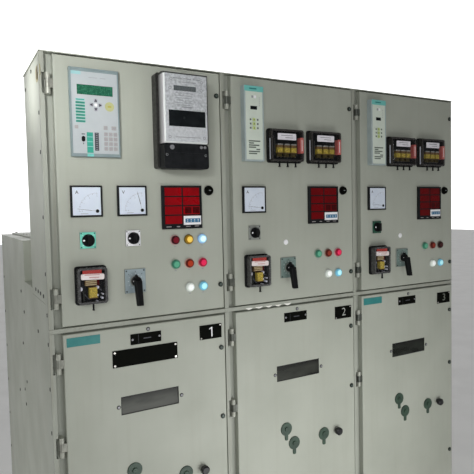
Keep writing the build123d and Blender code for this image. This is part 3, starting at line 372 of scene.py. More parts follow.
# The trim strips' paint is a little darker than the doors': painted shade of the recessed strips.
painted_sheet("trim_paint_shaded", (170, 174, 163), (160, 163, 152), (140, 136, 120), 0.5)
painted_sheet("post_grey", (164, 168, 158), (156, 160, 150), (140, 136, 124), 0.5)
painted_sheet("plinth_grey", (92, 94, 94), (80, 82, 82), (126, 120, 108), 0.7)
moulded("hinge_cap", (178, 180, 168), (160, 163, 152), 0.45, 0.01, Metallic=0.15)
moulded("meter_black", (20, 22, 24), (34, 36, 38), 0.45, 0.02, 0.0009, **DULL)
moulded("moulded_black", (16, 17, 18), (28, 29, 30), 0.42, 0.02, 0.0009, **DULL)
moulded("plate_black", (10, 12, 9), (17, 18, 14), 0.5, 0.03, 0.0009, Specular_IOR_Level=0.02)
capped("energy_meter", (204, 207, 210), (150, 154, 157), (50, 50, 47), (36, 36, 35))
lcd("lcd_green", (28, 92, 68), (54, 128, 98))
lcd("lcd_grey", (82, 88, 90), (104, 110, 112), 0.003)
moulded("window_black", (14, 18, 20), (28, 32, 34), 0.2, 0.03, 0.002, 0.00001, **DULL)
brushed("nickel", (206, 204, 198), (176, 174, 170), 0.3)
moulded("blackened_steel", (54, 56, 52), (38, 40, 38), 0.42, 0.01, 0.0008, Metallic=0.5)
clear_plastic("clear_cover", (60, 60, 64), 0.02, 0.4)
moulded("deep_red_lines", (78, 3, 8), (60, 2, 6), 0.3, 0.05, 0.003, 0.00001, **DULL)
moulded("seal_grey", (150, 150, 154), (130, 130, 134), 0.4, 0.006, Metallic=0.3)
zinc("galvanised_sheet")
two_part("truck_grey", 1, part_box("breaker_trucks")[0].y + HOUSING_DEPTH,
         ((150, 154, 152), (134, 138, 138)), ((96, 52, 40), (84, 44, 34)), (0.42, 0.3))
COVER_TINTS = ((52, 76, 60), (42, 62, 50)), ((20, 20, 22), (30, 30, 32))
LATCH_TINTS = (34, 44, 38), (24, 30, 26)
# One copy per bay, darker in the bays further right and lightest in the left bay: painted light and shade
# across the row.
BAY_SHADED_TINTS = {  # the hinges, the window pane and the red meter
    1: (((150, 151, 141), (132, 134, 125)), ((86, 88, 82), (58, 61, 55)), (158, 5, 17)),
    2: (((96, 99, 91), (80, 83, 76)), ((58, 60, 54), (34, 37, 32)), (120, 4, 12)),
    3: (((84, 88, 81), (66, 70, 64)), ((50, 54, 48), (26, 29, 24)), (110, 3, 9)),
}
for bay, (hinges, pane_tints_shaded, red) in BAY_SHADED_TINTS.items():
    two_part(f"key_cover_{bay}", 0, bay_left(bay) + KNOB_LEFT, *COVER_TINTS, (0.45, 0.35))
    two_part(f"door_fitting_{bay}", 0, bay_left(bay) + PITCH / 2, hinges, LATCH_TINTS, (0.4, 0.35),
             Metallic=0.35)
    misted(f"window_pane_{bay}", hv_high.z - PANE_TOP, *pane_tints_shaded)
    moulded(f"red_window_{bay}", red, scaled(red, 0.84), 0.3, 0.05, 0.003, 0.00001, **DULL)
# Each metal ring is tinted after its lens: a painted halo of the lens's light on the ring.
LAMP_TINTS = {  # the lit middle, the lens's rim, their glow, and the metal ring
    "dark_red": ((134, 26, 42), (68, 8, 18), 0, (216, 172, 170)),
    "amber": ((255, 214, 98), (160, 122, 26), 0.3, (112, 98, 34)),
    "blue_lit": ((214, 252, 255), (170, 218, 250), 0.6, (158, 190, 232)),
    "green": ((104, 188, 152), (68, 140, 114), 0.05, (152, 178, 160)),
    "brown_red": ((196, 64, 32), (106, 26, 10), 0.05, (220, 172, 156)),
    "rust": ((156, 48, 26), (98, 24, 12), 0, (176, 142, 128)),
    "maroon": ((72, 18, 18), (42, 8, 8), 0, (140, 128, 116)),
    "pink_red": ((242, 42, 92), (172, 16, 56), 0.2, (230, 160, 166)),
    "white": ((252, 255, 252), (228, 236, 228), 0.35, (208, 212, 208)),
    "blue": ((182, 246, 255), (124, 200, 228), 0.45, (160, 192, 198)),
}
for key, (core, rim, glow, metal) in LAMP_TINTS.items():
    lens(f"lens_{key}", core, rim, glow)
    lens(f"lens_rim_{key}", rim, scaled(rim, 0.85), glow * 0.6)
    moulded(f"lamp_halo_ring_{key}", metal, tuple(c - 12 for c in metal), 0.35, 0.01)

NODE_FINISHES = [
    ("post_grey", "front_posts"),
    ("panel_grey", "rear_posts front_rails end_walls partitions hv_roofs busbar_fronts rear_covers"),
    ("panel_grey", "lv_back_plates lv_floors_and_roofs"),
    ("trim_paint_shaded", "trim_strips"),
    ("plinth_grey", "base_rails base_cross_rails"),
    ("galvanised_sheet", "floor_plates shutter_plates"),
    ("truck_grey", "breaker_trucks"),
    ("hinge_cap", "hinge_posts"),
    ("relay_bezel", "protection_relay_1"),
    ("feeder_bezel", "protection_relay_2 protection_relay_3"),
    ("meter_black", "energy_meter_cover_1"),
    ("energy_meter", "energy_meter_1"),
    ("moulded_black", "selector_knob_1a selector_knob_1b selector_knob_2a selector_knob_3a"),
]
for bay in BAYS:
    NODE_FINISHES += [
        ("panel_grey", f"lv_door_{bay} hv_door_{bay}"),
        ("meter_black", f"panel_meters_{bay}"),
        ("switch_plate", f"switch_bodies_{bay}"),
        ("moulded_black", f"control_handle_{bay}"),
        (f"window_pane_{bay}", f"hv_window_{bay}"),
        (f"key_cover_{bay}", f"hv_door_covers_{bay}"),
        (f"door_fitting_{bay}", f"lv_door_fittings_{bay} hv_door_fittings_{bay}"),
    ]
for finish, covered in NODE_FINISHES:
    for name in covered.split():
        node = frame["nodes"][name]
        if not node.material_slots:
            node.data.materials.append(None)
        for held in node.material_slots:
            held.material = FINISHES[finish]


# Outlines, each a ring of points in millimetres
def polar(degrees, radius=1):
    return Vector((math.cos(math.radians(degrees)), math.sin(math.radians(degrees)))) * radius


def moved(at, *offset):
    return at[0] + offset[0], at[1] + offset[1]


def rounded(width, height, corner=0, steps=4):
    if not corner:
        return [(width * u, height * v) for u, v in ((0.5, -0.5), (0.5, 0.5), (-0.5, 0.5), (-0.5, -0.5))]
    ring = []
    for u, v, start in ((1, 1, 0), (-1, 1, 90), (-1, -1, 180), (1, -1, 270)):
        middle = Vector((u * (width / 2 - corner), v * (height / 2 - corner)))
        ring += [middle + polar(start + 90 * step / steps, corner) for step in range(steps + 1)]
    return ring


def circle(radius, steps=28):
    return [polar(360 * step / steps, radius) for step in range(steps)]


def half_circle(radius, gap, steps=12):
    """The part of a disc above a slot of twice the gap."""
    start = math.degrees(math.asin(gap / radius))
    return [polar(start + (180 - 2 * start) * step / steps, radius) for step in range(steps + 1)]


def inset(ring, distance):
    inner = []
    for index, point in enumerate(ring):
        before = (point - ring[index - 1]).normalized()
        after = (ring[(index + 1) % len(ring)] - point).normalized()
        first, second = Vector((-before.y, before.x)), Vector((-after.y, after.x))
        inner.append(point + (first + second) / (1 + first.dot(second)) * distance)
    return inner


PRINT, SHARP_ANGLE = 0.12, 32
HEAD_SHARE, SLOT_SHARE, BEVEL_SHARE = 0.45, 0.14, 0.4  # of a screw's height, radius and head


class Form:
    """One piece of the scene: solids on one surface, gathered in one mesh."""

    def __init__(self, name, body, face, slot):
        self.name, self.body, self.face, self.slot = name, body, face, slot
        self.middle, self.top = (0, 0), 0
        self.mesh = bmesh.new()
        self.finishes = []

    def about(self, at, top=None):
        """Sets the middle that places are counted from, and the level that blocks and marks stand on."""
        self.middle = at
        self.top = self.top if top is None else top

    def index(self, finish):
        if finish not in self.finishes:
            self.finishes.append(finish)
        return self.finishes.index(finish)

    def points(self, ring, height):
        return [self.mesh.verts.new(self.face @ Vector((*moved(self.middle, *point), height)))
                for point in ring]

    def walls(self, rows):
        """The faces between each ring of points and the next."""
        return [self.mesh.faces.new(corners) for near, far in zip(rows, rows[1:])
                for corners in zip(near, near[1:] + near[:1], far[1:] + far[:1], far)]

    def skin(self, levels, finish):
        """A closed solid through rings of points, each ring with its height."""
        rows = [self.points(ring, height) for ring, height in levels]
        ends = [self.mesh.faces.new(rows[0][::-1]), self.mesh.faces.new(rows[-1])]
        for polygon in ends + self.walls(rows):
            polygon.material_index = self.index(finish)

    def prism(self, at, outline, low, high, finish, edge=0, turn=0):
        turned = Matrix.Rotation(math.radians(turn), 2)
        ring = [Vector(at) + turned @ Vector(p) for p in outline]
        if edge:
            self.skin([(ring, low), (ring, high - edge), (inset(ring, edge), high)], finish)
        else:
            self.skin([(ring, low), (ring, high)], finish)

    def plate(self, u, v, size, low, high, finish, edge=0, turn=0):
        """A prism on a rectangle, its size being width and height, then corner radius and steps."""
        self.prism((u, v), rounded(*size), low, high, finish, edge, turn)

    def block(self, u, v, size, high, finish, edge=0, turn=0):
        """A plate that stands on the level that about() has set."""
        self.plate(u, v, size, self.top, high, finish, edge, turn)

    def mark(self, u, v, size, finish, layers=1):
        """A printed mark on that level."""
        self.block(u, v, size, self.top + layers * PRINT, finish)

    def lathe(self, at, profile, finish, steps=28):
        """A turned solid: radii with their heights, from the lowest to the highest."""
        self.skin([([Vector(at) + p for p in circle(radius, steps)], height)
                   for radius, height in profile], finish)

    def frame(self, at, width, height, hole, low, high, finish):
        """A flat sheet with a rectangular hole (middle, width and height from the sheet's middle)."""
        u, v, wide, tall = hole
        left, right = u + (width - wide) / 2, (width - wide) / 2 - u
        under, over = v + (height - tall) / 2, (height - tall) / 2 - v
        sides = (((left - width) / 2, 0, left, height), ((width - right) / 2, 0, right, height),
                 (u, (under - height) / 2, wide, under), (u, (height - over) / 2, wide, over))
        for x, y, *size in sides:
            self.plate(at[0] + x, at[1] + y, size, low, high, finish)

    def ring(self, outside, inside, low, high, finish):
        """A low wall between two outlines with the same number of points, open in the middle."""
        levels = (outside, low), (outside, high), (inside, high), (inside, low)
        rows = [self.points(*level) for level in levels]
        for polygon in self.walls(rows + rows[:1]):
            polygon.material_index = self.index(finish)

    def bar(self, start, end, width, low, high, finish, tip=None):
        """A straight bar between two points, narrower at its end where a tip width is given."""
        start, end = Vector(start), Vector(end)
        along = (end - start).normalized()
        side = Vector((-along.y, along.x))
        half, thin = width / 2, (width if tip is None else tip) / 2
        ring = [start - side * half, end - side * thin, end + side * thin, start + side * half]
        self.skin([(ring, low), (ring, high)], finish)

    def screw(self, at, radius, low, high, finish, turn=35):
        """A slotted head: two half discs over a thin round foot."""
        floor = high - (high - low) * HEAD_SHARE
        self.lathe(at, [(radius, low), (radius, floor)], finish, 20)
        half = half_circle(radius, radius * SLOT_SHARE)
        for side in (0, 180):
            self.prism(at, half, floor, high, finish, (high - floor) * BEVEL_SHARE, turn + side)

    def text(self, words, at, size, low, high, finish, offset=0):
        curve = bpy.data.curves.new(self.name + "_glyph", "FONT")
        curve.body, curve.size, curve.offset = words, size, offset
        curve.align_x, curve.align_y = "CENTER", "CENTER"
        curve.resolution_u, curve.extrude = 4, (high - low) / 2
        holder = bpy.data.objects.new(self.name + "_glyph", curve)
        mesh = bpy.data.meshes.new_from_object(holder)
        mesh.transform(self.face @ Matrix.Translation((*moved(self.middle, *at), (low + high) / 2)))
        first = len(self.mesh.faces)
        self.mesh.from_mesh(mesh)
        self.mesh.faces.ensure_lookup_table()
        for polygon in self.mesh.faces[first:]:
            polygon.material_index = self.index(finish)
        bpy.data.objects.remove(holder)
        bpy.data.curves.remove(curve)
        bpy.data.meshes.remove(mesh)

    def build(self, *replaced):
        bmesh.ops.recalc_face_normals(self.mesh, faces=self.mesh.faces)
        data = bpy.data.meshes.new(self.name)
        self.mesh.to_mesh(data)
        self.mesh.free()
        for finish in self.finishes:
            data.materials.append(FINISHES[finish])
        for polygon in data.polygons:
            polygon.use_smooth = True
        data.set_sharp_from_angle(angle=math.radians(SHARP_ANGLE))
        piece = placed(self.name, data)
        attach(piece, self.body)
        if replaced:
            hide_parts(*replaced)


def lv_form(name, bay, slot):
    return Form(f"{name}_{bay}", f"lv_door_{bay}", lv_face(bay), slot)


def hv_form(name, bay, slot):
    return Form(f"{name}_{bay}", f"hv_door_{bay}", hv_face(bay), slot)


# Relay faces. The face lies in the bezel's pocket, and the keys cover the solid's keys.
RELAY, RELAY_SIZE, RELAY_PROUD, RELAY_BAND = (156, 648), (150, 266), 16, 10.5
FEEDER, FEEDER_SIZE, FEEDER_PROUD = (117, 650), (81, 266), 26
RIM, POCKET, DISPLAY_POCKET, SHEET = 5, 2, 1.5, 0.3
KEY_PITCH, KEY, ARROW_KEY = 14.8, 11.4, 11
ARROW = [(0, 5.2), (-5, -3.6), (5, -3.6)]


def key_field(form, at, columns, rows, floor, finish, mark, size=(3, 4)):
    form.about(at, floor)
    key_top = floor + DISPLAY_POCKET + SHEET
    for column in range(columns):
        for row in range(rows):
            u, v = (column - (columns - 1) / 2) * KEY_PITCH, (row - (rows - 1) / 2) * KEY_PITCH
            form.block(u, v, (KEY, KEY, 1.5), key_top, finish, 0.4)
            form.block(u, v, (*size, 0.6), key_top + 0.1, mark)


def relay_front():
    form = lv_form("relay_face", 1, "relay_case")
    floor = RELAY_PROUD - POCKET
    top = floor + SHEET
    form.about(RELAY, top)
    form.frame((0, -0.5), RELAY_SIZE[0] - 2 * RIM + 1, RELAY_SIZE[1] - 2 * RELAY_BAND,
               (1.4, 69, 109, 30), floor, top, "relay_face")
    form.plate(1.4, 68.5, (108.6, 29.6), floor - DISPLAY_POCKET, floor - 0.9, "lcd_green")
    form.mark(-55, 117, (29, 10), "pale_teal_print")
    for u, width in ((-4, 26), (26, 18)):
        form.mark(u, 106, (width, 1.6), "pale_ink")
    for row in range(8):
        v = 38 - 9.3 * row
        form.mark(-44.5, v, (28, 6.4, 1), "teal_print" if row else "pale_teal_print")
        form.mark(-44.5, v, (25, 3.2, 0.8), "dark_teal_print" if row else "teal_print", 2)
    form.about(moved(RELAY, 2.2, 24.5))
    form.block(0, 0, (9, 9, 2), top + 0.5, "white_plate", 0.2)
    for turn, u, v in ((0, 0, 13.2), (90, -13.4, 0), (180, 0, -13.2), (270, 13.4, 0)):
        form.plate(u, v, (ARROW_KEY, ARROW_KEY, 2), floor, top + 0.7, "arrow_key", 0.3)
        form.prism((u, v), ARROW, top + 0.7, top + 0.9, "ink", turn=turn)
    form.about(RELAY)
    form.lathe((44.5, 22), [(14.5, top), (14.5, top + PRINT)], "yellow_print", 36)
    form.block(44.5, 22, (12, 5.5, 2.5), top + 0.9, "olive_print", 0.3)
    form.block(-58, -44.5, (11, 10.5, 1), top + 0.6, "key_grey", 0.2)
    for u, width in ((30, 12), (56, 15)):
        form.block(u, -43.5, (width, 12, 1), top + 1, "key_grey", 0.3)
        form.plate(u, -43.5, (width - 5, 3), top + 1, top + 1.1, "pale_ink")
    form.about(moved(RELAY, -38.5, -79.5))
    form.block(0, 0, (10.5, 17, 5), top + 1.8, "moulded_black", 0.5)
    form.mark(0, -14, (2.4, 5), "ink")
    form.bar((-5, 14.5), (5, 14.5), 2.8, top, top + PRINT, "ink")
    form.about(moved(RELAY, -18.7, 0))
    form.mark(0, -90, (19, 62), "teal_print")
    form.plate(0, -128, (19, 9), RELAY_PROUD - 0.05, RELAY_PROUD + PRINT, "band_teal")
    for row in range(3):
        form.mark(0, -73 - 14.5 * row, (17, 1.8), "pale_teal_print", 2)
    form.about(moved(RELAY, 1.8, 0))
    form.block(0, -86.5, (12.5, 55), top + 0.5, "ink", 0.2)
    for row in range(9):
        form.plate(0, -62.5 - 6 * row, (6, 1.4), top + 0.5, top + 0.6, "pale_ink")
    form.build()
    keys = lv_form("relay_keys", 1, "relay_case")
    key_field(keys, moved(RELAY, 45, -85), 3, 4, floor, "key_grey", "pale_ink")
    keys.build()


def feeder_front(bay):
    form = lv_form("relay_face", bay, "relay_case")
    floor = FEEDER_PROUD - POCKET
    top = floor + SHEET
    form.about(FEEDER, top)
    form.frame((0, 0), FEEDER_SIZE[0] - 2 * RIM, FEEDER_SIZE[1] - 2 * RIM, (-0.7, 55.5, 28, 13), floor, top,
               "feeder_face")
    form.plate(-0.7, 55.5, (27.4, 12.4), floor - DISPLAY_POCKET, floor - 0.9, "window_black")
    form.plate(0, 122, (FEEDER_SIZE[0] - 2.5, 19), floor, FEEDER_PROUD + 0.2, "band_teal", 0.2)
    form.plate(-4, 122, (30, 5), FEEDER_PROUD, FEEDER_PROUD + 0.3, "teal_plate")
    form.mark(-6, 94, (7, 8), "pale_ink")
    form.block(5, 94, (9, 10, 1), top + 0.6, "white_plate", 0.2)
    for row in range(5):
        form.mark(23, 92 - 7 * row, (3.2, 2.4), "pale_ink")
    lines = ((48, 0), (20, -13), (44, -2), (30, -9), (16, 15), (46, -1), (34, -7))
    for row, (width, shift) in enumerate(lines):
        form.mark(shift, -62 - 7.4 * row, (width, 4.4), "faded_ink")
    form.build()
    keys = lv_form("relay_keys", bay, "relay_case")
    key_field(keys, moved(FEEDER, -1, -1.5), 3, 3, floor, "feeder_face", "faded_ink", (6.5, 6.5))
    for row in (-1, 0, 1):
        keys.block(0, row * KEY_PITCH, (KEY, KEY, 1), floor + DISPLAY_POCKET + 0.6, "key_yellow", 0.2)
        keys.block(0, row * KEY_PITCH, (3, 6, 1), floor + DISPLAY_POCKET + 0.8, "faded_ink")
    keys.build()


# Dials and the red meter
AMMETER, VOLTMETER, METER, METER_PROUD = (122, 380), (266, 380), 96, 11
PIVOT, NEEDLE = Vector((31.5, -30.5)), 62
NEEDLE_STYLES = {"A": (18, 1), "V": (20, 2)}
MULTIMETER, MULTI_SIZE, ROW_HEIGHT, METER_BAR = (438, 357), 144, 31, 4


def dial(form, at, letters, reading):
    """A quarter-circle dial with its pivot cap at the lower right; 0 is to the left and 90 is up."""
    floor = METER_PROUD - POCKET
    top, side = floor + 0.25, METER - 2 * RIM - 0.4
    form.about(at, top)
    form.plate(0, 0, (side, side), floor, top, "dial_white")
    for step in range(0, 91, 3):
        inner, width = (54, 0.5) if step % 15 else (51, 0.9)
        out = polar(180 - step)
        form.bar(PIVOT + out * inner, PIVOT + out * 57, width, top, top + PRINT, "pale_ink")
    for number in range(4):
        form.text(str(number), PIVOT + polar(180 - 30 * number) * 46, 5.5, top, top + PRINT, "pale_ink")
    form.text(letters, (-29, 27), 15, top, top + PRINT, "moulded_black")
    form.mark(-8, -38, (22, 1.2), "pale_ink")
    out = polar(180 - reading)
    start, width = NEEDLE_STYLES[letters]
    form.bar(PIVOT + out * start, PIVOT + out * NEEDLE, width, top + 0.4, top + 0.8, "ink", 0.5)
    form.bar(PIVOT, PIVOT + out * start, 0.7, top + 0.4, top + 0.7, "pale_ink")
    form.lathe(PIVOT, [(5.4, top), (5.4, top + 1.2), (4.2, top + 1.6)], "moulded_black")


def dials(bay):
    form = lv_form("meter_dials", bay, "meter_case")
    dial(form, AMMETER, "A", 7)
    if bay == 1:
        dial(form, VOLTMETER, "V", 76)
    form.build()


def multimeter(bay):
    form = lv_form("multimeter_face", bay, "meter_case")
    floor, first_row = METER_PROUD - POCKET, MULTI_SIZE / 2 - RIM
    window = (MULTI_SIZE - 2 * RIM - 3 * METER_BAR) / 2
    form.about(MULTIMETER)
    for column in (-1, 1):
        for row in range(4):
            high = floor + (0.4 if (column, row) == (1, 3) else 1.6)
            form.plate(column * (window + METER_BAR) / 2, first_row - (row + 0.5) * ROW_HEIGHT,
                       (window - 1.2, ROW_HEIGHT - 4), floor + 0.2, high, f"red_window_{bay}", 0.4)
    for u in (20, 49):
        form.plate(u, first_row - 2.5 * ROW_HEIGHT, (24, 21, 2), floor + 1.4, floor + 1.75,
                   "deep_red_lines")
    form.about(moved(MULTIMETER, 35.5, -44.5))
    form.plate(0, 0, (65, 30, 1), floor - 0.2, floor + 1.9, "white_plate", 0.2)
    form.plate(1, -0.5, (55, 13.5, 1), floor + 1.8, floor + 1.95, "digit_blue")
    for digit in range(4):
        for v in (2.1, -3.1):
            form.plate(-18.5 + digit * 13, v, (3.2, 2.6), floor + 1.9, floor + 2, "white_plate")
    form.about(MULTIMETER)
    for u, width in ((-50, 18), (-16, 12), (20, 16), (52, 16)):
        form.plate(u, -64.5, (width, 2.6), floor, floor + 0.2, "key_grey")
    form.build()


# Relays under clear covers
TRIP, TRIP_SIZE, TRIP_PROUD = (126.5, 122), (97, 119), 40
AUXILIARY, AUX_SIZE, AUX_PROUD = ((257.5, 577.5), (438.5, 578.5)), (152, 125), 38
FOOT, WORKS_FLOOR, CASE_CORNER, CASE_BEHIND, RESET_SPACING = 10, 11.5, 9, 90, 36
COVER_INSET, COIL_TURNS = 8, 6


def coil(form, u, v, width, height, high, tape=None):
    """A wound coil: a flanged bobbin with a bulging winding of tape between the flanges."""
    half, turn_height = height / 2, (height - 4) / COIL_TURNS
    for end in (1 - half, half - 1):
        form.block(u, v + end, (width, 2, 1), high, tape or "coil_frame", 0.4)
    for turn in range(COIL_TURNS):
        form.plate(u, v - half + 2 + (turn + 0.5) * turn_height, (width - 3, turn_height), WORKS_FLOOR + 1,
                   high - 1, tape or "coil_tape", 0.9)


def case(form, cover, at, size, proud, pins, edge):
    """The relay's foot, the case behind the door, the clear cover with its rim, and the reset pins."""
    width, height = size
    inner = width - COVER_INSET, height - COVER_INSET
    form.about(at, WORKS_FLOOR)
    cover.about(at)
    form.plate(0, 0, (width, height, CASE_CORNER, 6), 0, FOOT, "moulded_black", 1.5)
    form.ring(rounded(*inner, CASE_CORNER, 6), rounded(inner[0] - 14, inner[1] - 14, 2, 6), FOOT,
              proud - 8, edge)
    form.plate(0, 0, inner, -CASE_BEHIND, 0, "moulded_black")
    form.plate(0, 0, (width - 14, height - 14, 6), FOOT, WORKS_FLOOR, "meter_black", 0.4)
    cover.plate(0, 0, (*inner, CASE_CORNER, 6), FOOT, proud, "clear_cover", 4)
    for index in range(pins):
        u, v = (index - (pins - 1) / 2) * RESET_SPACING, -height / 2 - 6
        form.plate(u, v, (5, 20, 2), proud - 14.5, proud - 9.5, "moulded_black", 1)
        form.plate(u, v - 9, (7, 3.4, 1.5), proud - 15.5, proud - 8.5, "moulded_black", 1)


def trip_relay(form, cover):
    case(form, cover, TRIP, TRIP_SIZE, TRIP_PROUD, 1, "case_rim")
    form.block(0, 35, (56, 26, 2), 27, "meter_black", 0.5)
    form.plate(-1, 42, (58, 17, 3), 27, 30, "red_label", 0.5)
    form.plate(0, 28, (71, 18, 5), 27, 33, "faded_label", 0.8, -2)
    for u, v, width in ((-2, 34, 46), (4, 26, 30)):
        form.plate(u, v, (width, 2.6), 33, 33.15, "faded_pink", turn=-2)
    form.block(-4, 8, (36, 17, 2), 24, "coil_frame", 1)
    for v in (3, 9, 15):
        form.plate(-4, v, (34, 2.6, 1), 23.8, 24.6, "pale_core", 0.3)
    form.block(18, 9, (8, 22, 2), 22, "deep_red_lines", 1)
    coil(form, 1, -21, 27, 35, 30)
    spots = ((-37, -8, 7), (15, -6, 5), (14, -30, 3.6), (31, -28, 2.6), (29, -40, 3.6), (14, -50, 3.4))
    for u, v, radius in spots:
        form.lathe((u, v), [(radius, WORKS_FLOOR), (radius, 26), (radius * 0.7, 28)], "bright_spot", 16)
    for u in (-26, 36):
        form.block(u, -32, (5, 38, 2), 20, "blackened_steel", 1)
    form.bar((8, 0), (30, -18), 3, WORKS_FLOOR, 18, "ink")
    form.bar((-8, -44), (-30, -18), 2.4, WORKS_FLOOR, 18, "ink")


def auxiliary_relay(form, cover, at):
    case(form, cover, at, AUX_SIZE, AUX_PROUD, 3, "dark_rim")
    form.block(1, 31, (60, 16, 1), 28, "meter_black", 0.5)
    form.plate(-3, 32, (82, 24, 3), 28, 30, "lilac_label", 0.5)
    for u, v, width in ((-4, 36, 50), (6, 28, 34)):
        form.plate(u, v, (width, 2.2), 30, 30.15, "pale_ink")
    for u in (-31, 0, 30):
        form.block(u, 4, (22, 5, 1), 27, "nickel", 0.6)
        form.block(u, -3, (24, 9, 1), 25, "coil_frame", 1)
        coil(form, u, -17, 25, 22, 28)
        coil(form, u, -35, 22, 13, 23, "olive_dark")
        for side in (-8, 8):
            form.lathe((u + side, -41), [(2.4, WORKS_FLOOR), (2.4, 20), (1.4, 21.5)], "nickel", 14)
    form.block(63.5, 2, (15.5, 58, 3), 31.5, "pink_strip", 0.8)
    form.plate(63, 2, (3, 42, 1), 31.5, 32, "faded_label")
    # A thin pale strip on the left side of the clear cover: a painted highlight of the cover's edge.
    form.plate(-72, -13, (1, 76), 17, 22.5, "bright_spot")
    for u in (-50, 47):
        form.block(u, -6, (4, 60, 1.5), 19, "blackened_steel", 1)


def covered_relays(bay):
    form, cover = lv_form("relay_works", bay, "relay_cover"), lv_form("relay_covers", bay, "relay_cover")
    trip_relay(form, cover)
    for at in AUXILIARY if bay > 1 else ():
        auxiliary_relay(form, cover, at)
    form.build(f"trip_relays_{bay}")
    cover.build()


# Lamps and the push button
LAMPS, LAMP_SPACING, LAMP_ROWS, BUTTON = (411, 85), 50, 81.5, (541, 413)
FLANGE, LENS, LENS_CORE, CAP = 17, 14.5, 9.8, 14
DOME = [(LENS, 3), (LENS, 8.6), (LENS - 0.8, 10.6), (LENS - 2.6, 12), (LENS - 5.5, 12.7), (3, 13)]
GLOW = [(LENS_CORE, 12.2), (LENS_CORE, 12.8), (LENS_CORE - 2.5, 13.3)]  # the lens's bright middle
SHARED_LAMPS = {(1, 0): "white", (2, 0): "blue", (0, 1): "green"}
LAMP_COLOURS = {
    1: {**SHARED_LAMPS, (1, 1): "brown_red", (2, 1): "pink_red", (0, 2): "dark_red", (1, 2): "amber",
        (2, 2): "blue_lit"},
    2: {**SHARED_LAMPS, (1, 1): "rust", (2, 1): "pink_red"},
    3: {**SHARED_LAMPS, (1, 1): "rust", (2, 1): "maroon"},
}


def lamp_foot(form, at, finish):
    form.about(at)
    flange = [(FLANGE, 0), (FLANGE, 2.6), (FLANGE - 1.4, 4), (LENS + 0.6, 4), (LENS, 3.4)]
    form.lathe((0, 0), flange, finish, 36)
    form.lathe((0, 0), [(11, -10), (11, 0)], "moulded_black")
    form.plate(0, 0, (26, 26, 2), -45, -10, "moulded_black", 1)


def lamps(bay):
    form = lv_form("indicator_lamps", bay, "lamp_lens")
    for (column, row), colour in LAMP_COLOURS[bay].items():
        lamp_foot(form, moved(LAMPS, column * LAMP_SPACING, row * LAMP_ROWS), f"lamp_halo_ring_{colour}")
        form.lathe((0, 0), DOME, f"lens_rim_{colour}", 36)
        form.lathe((0, 0), GLOW, f"lens_{colour}", 36)
        form.plate(0, -22, (7, 3, 1), 0, 0.5, "pale_ink")
    lamp_foot(form, BUTTON, "moulded_black")
    form.lathe((0, 0), [(CAP, 3), (CAP, 10.6), (CAP - 1.5, 12)], "plate_black", 36)
    form.plate(0, 0, (8, 3.2, 1), 12, 12.3, "mark_grey")
    form.build(f"lamps_{bay}")


# Switch plates: a thin laminated label over the solid's plate, with a ring of marks
SELECTOR, SECOND_SELECTOR, SELECTOR_PLATE = (123, 260), (266.5, 260.5), (50, 52, 3)
CONTROL, CONTROL_PLATE = (269, 122.5), (70, 78, 4)
LABEL, HUB_FRONT, KNOB_FRONT = 0.35, 24.5, 12
SELECTOR_LABELS = {1: ("selector_teal", "white_plate"), 2: ("switch_plate", "ink"),
                   3: ("selector_green", "ink")}


def corner_screws(form, spread, radius, low, high, finish):
    for u in (-1, 1):
        for v in (-1, 1):
            form.screw((u * spread[0], v * spread[1]), radius, low, high, finish, 20 + 50 * u * v)


def label(form, at, plate, finish):
    """The thin label on a switch's plate. The marks that follow it lie on its top."""
    width, height, thick = plate
    form.about(at, thick + LABEL)
    form.plate(0, 0, (width - 2, height - 2, 2), thick, thick + LABEL, finish, 0.15)


def spoke(form, degrees, inner, outer, width, finish):
    out = polar(degrees)
    form.bar(out * inner, out * outer, width, form.top, form.top + PRINT, finish)


def switch_labels(bay):
    form = lv_form("switch_labels", bay, "switch_plate")
    plates = [(SELECTOR, *SELECTOR_LABELS[bay])] + [(SECOND_SELECTOR, "white_plate", "ink")] * (bay == 1)
    for at, finish, mark in plates:
        label(form, at, SELECTOR_PLATE, finish)
        for degrees in range(45, 360, 90):
            spoke(form, degrees, 20.5, 24, 1.2, mark)
        corner_screws(form, (20.5, 21.5), 2, form.top, form.top + 0.65, "blackened_steel")
    label(form, CONTROL, CONTROL_PLATE, "control_plate" if bay == 1 else "dark_switch_plate")
    for degrees in range(0, 360, 30):
        spoke(form, degrees, 22, 25, 1.2, "white_plate")
    for degrees in (45, 90, 135):
        spoke(form, degrees, 28, 33, 1.6, "ink")
    corner_screws(form, (29, 33), 2.4, form.top, form.top + 0.95, "blackened_steel")
    form.build()
    dot = Form(f"control_mark_{bay}", f"control_handle_{bay}", lv_face(bay), "knob")
    dot.about(CONTROL)
    dot.plate(-12.5, 2, (3.4, 3, 1), HUB_FRONT - 0.1, HUB_FRONT + 0.3, "white_plate")
    dot.build()


def knob_marks():
    for key, at in (("1a", SELECTOR), ("1b", SECOND_SELECTOR), ("2a", SELECTOR), ("3a", SELECTOR)):
        form = Form(f"knob_mark_{key}", f"selector_knob_{key}", lv_face(int(key[0])), "knob")
        form.about(at)
        form.plate(-14.2, 0, (6.4, 5.4, 2.4), KNOB_FRONT, KNOB_FRONT + 0.2, "white_plate")
        form.build()


# Energy meter. Its front is the front of the whole box, so the marks hardly rise from it.
ENERGY, ENERGY_BASE, ENERGY_BODY = (426, 635), (162, 304, 36), (154, 221, 50)
BODY_SHIFT, BODY_DROP, MARK_RISE, COVER_RISE = 3, 6, 0.02, 44


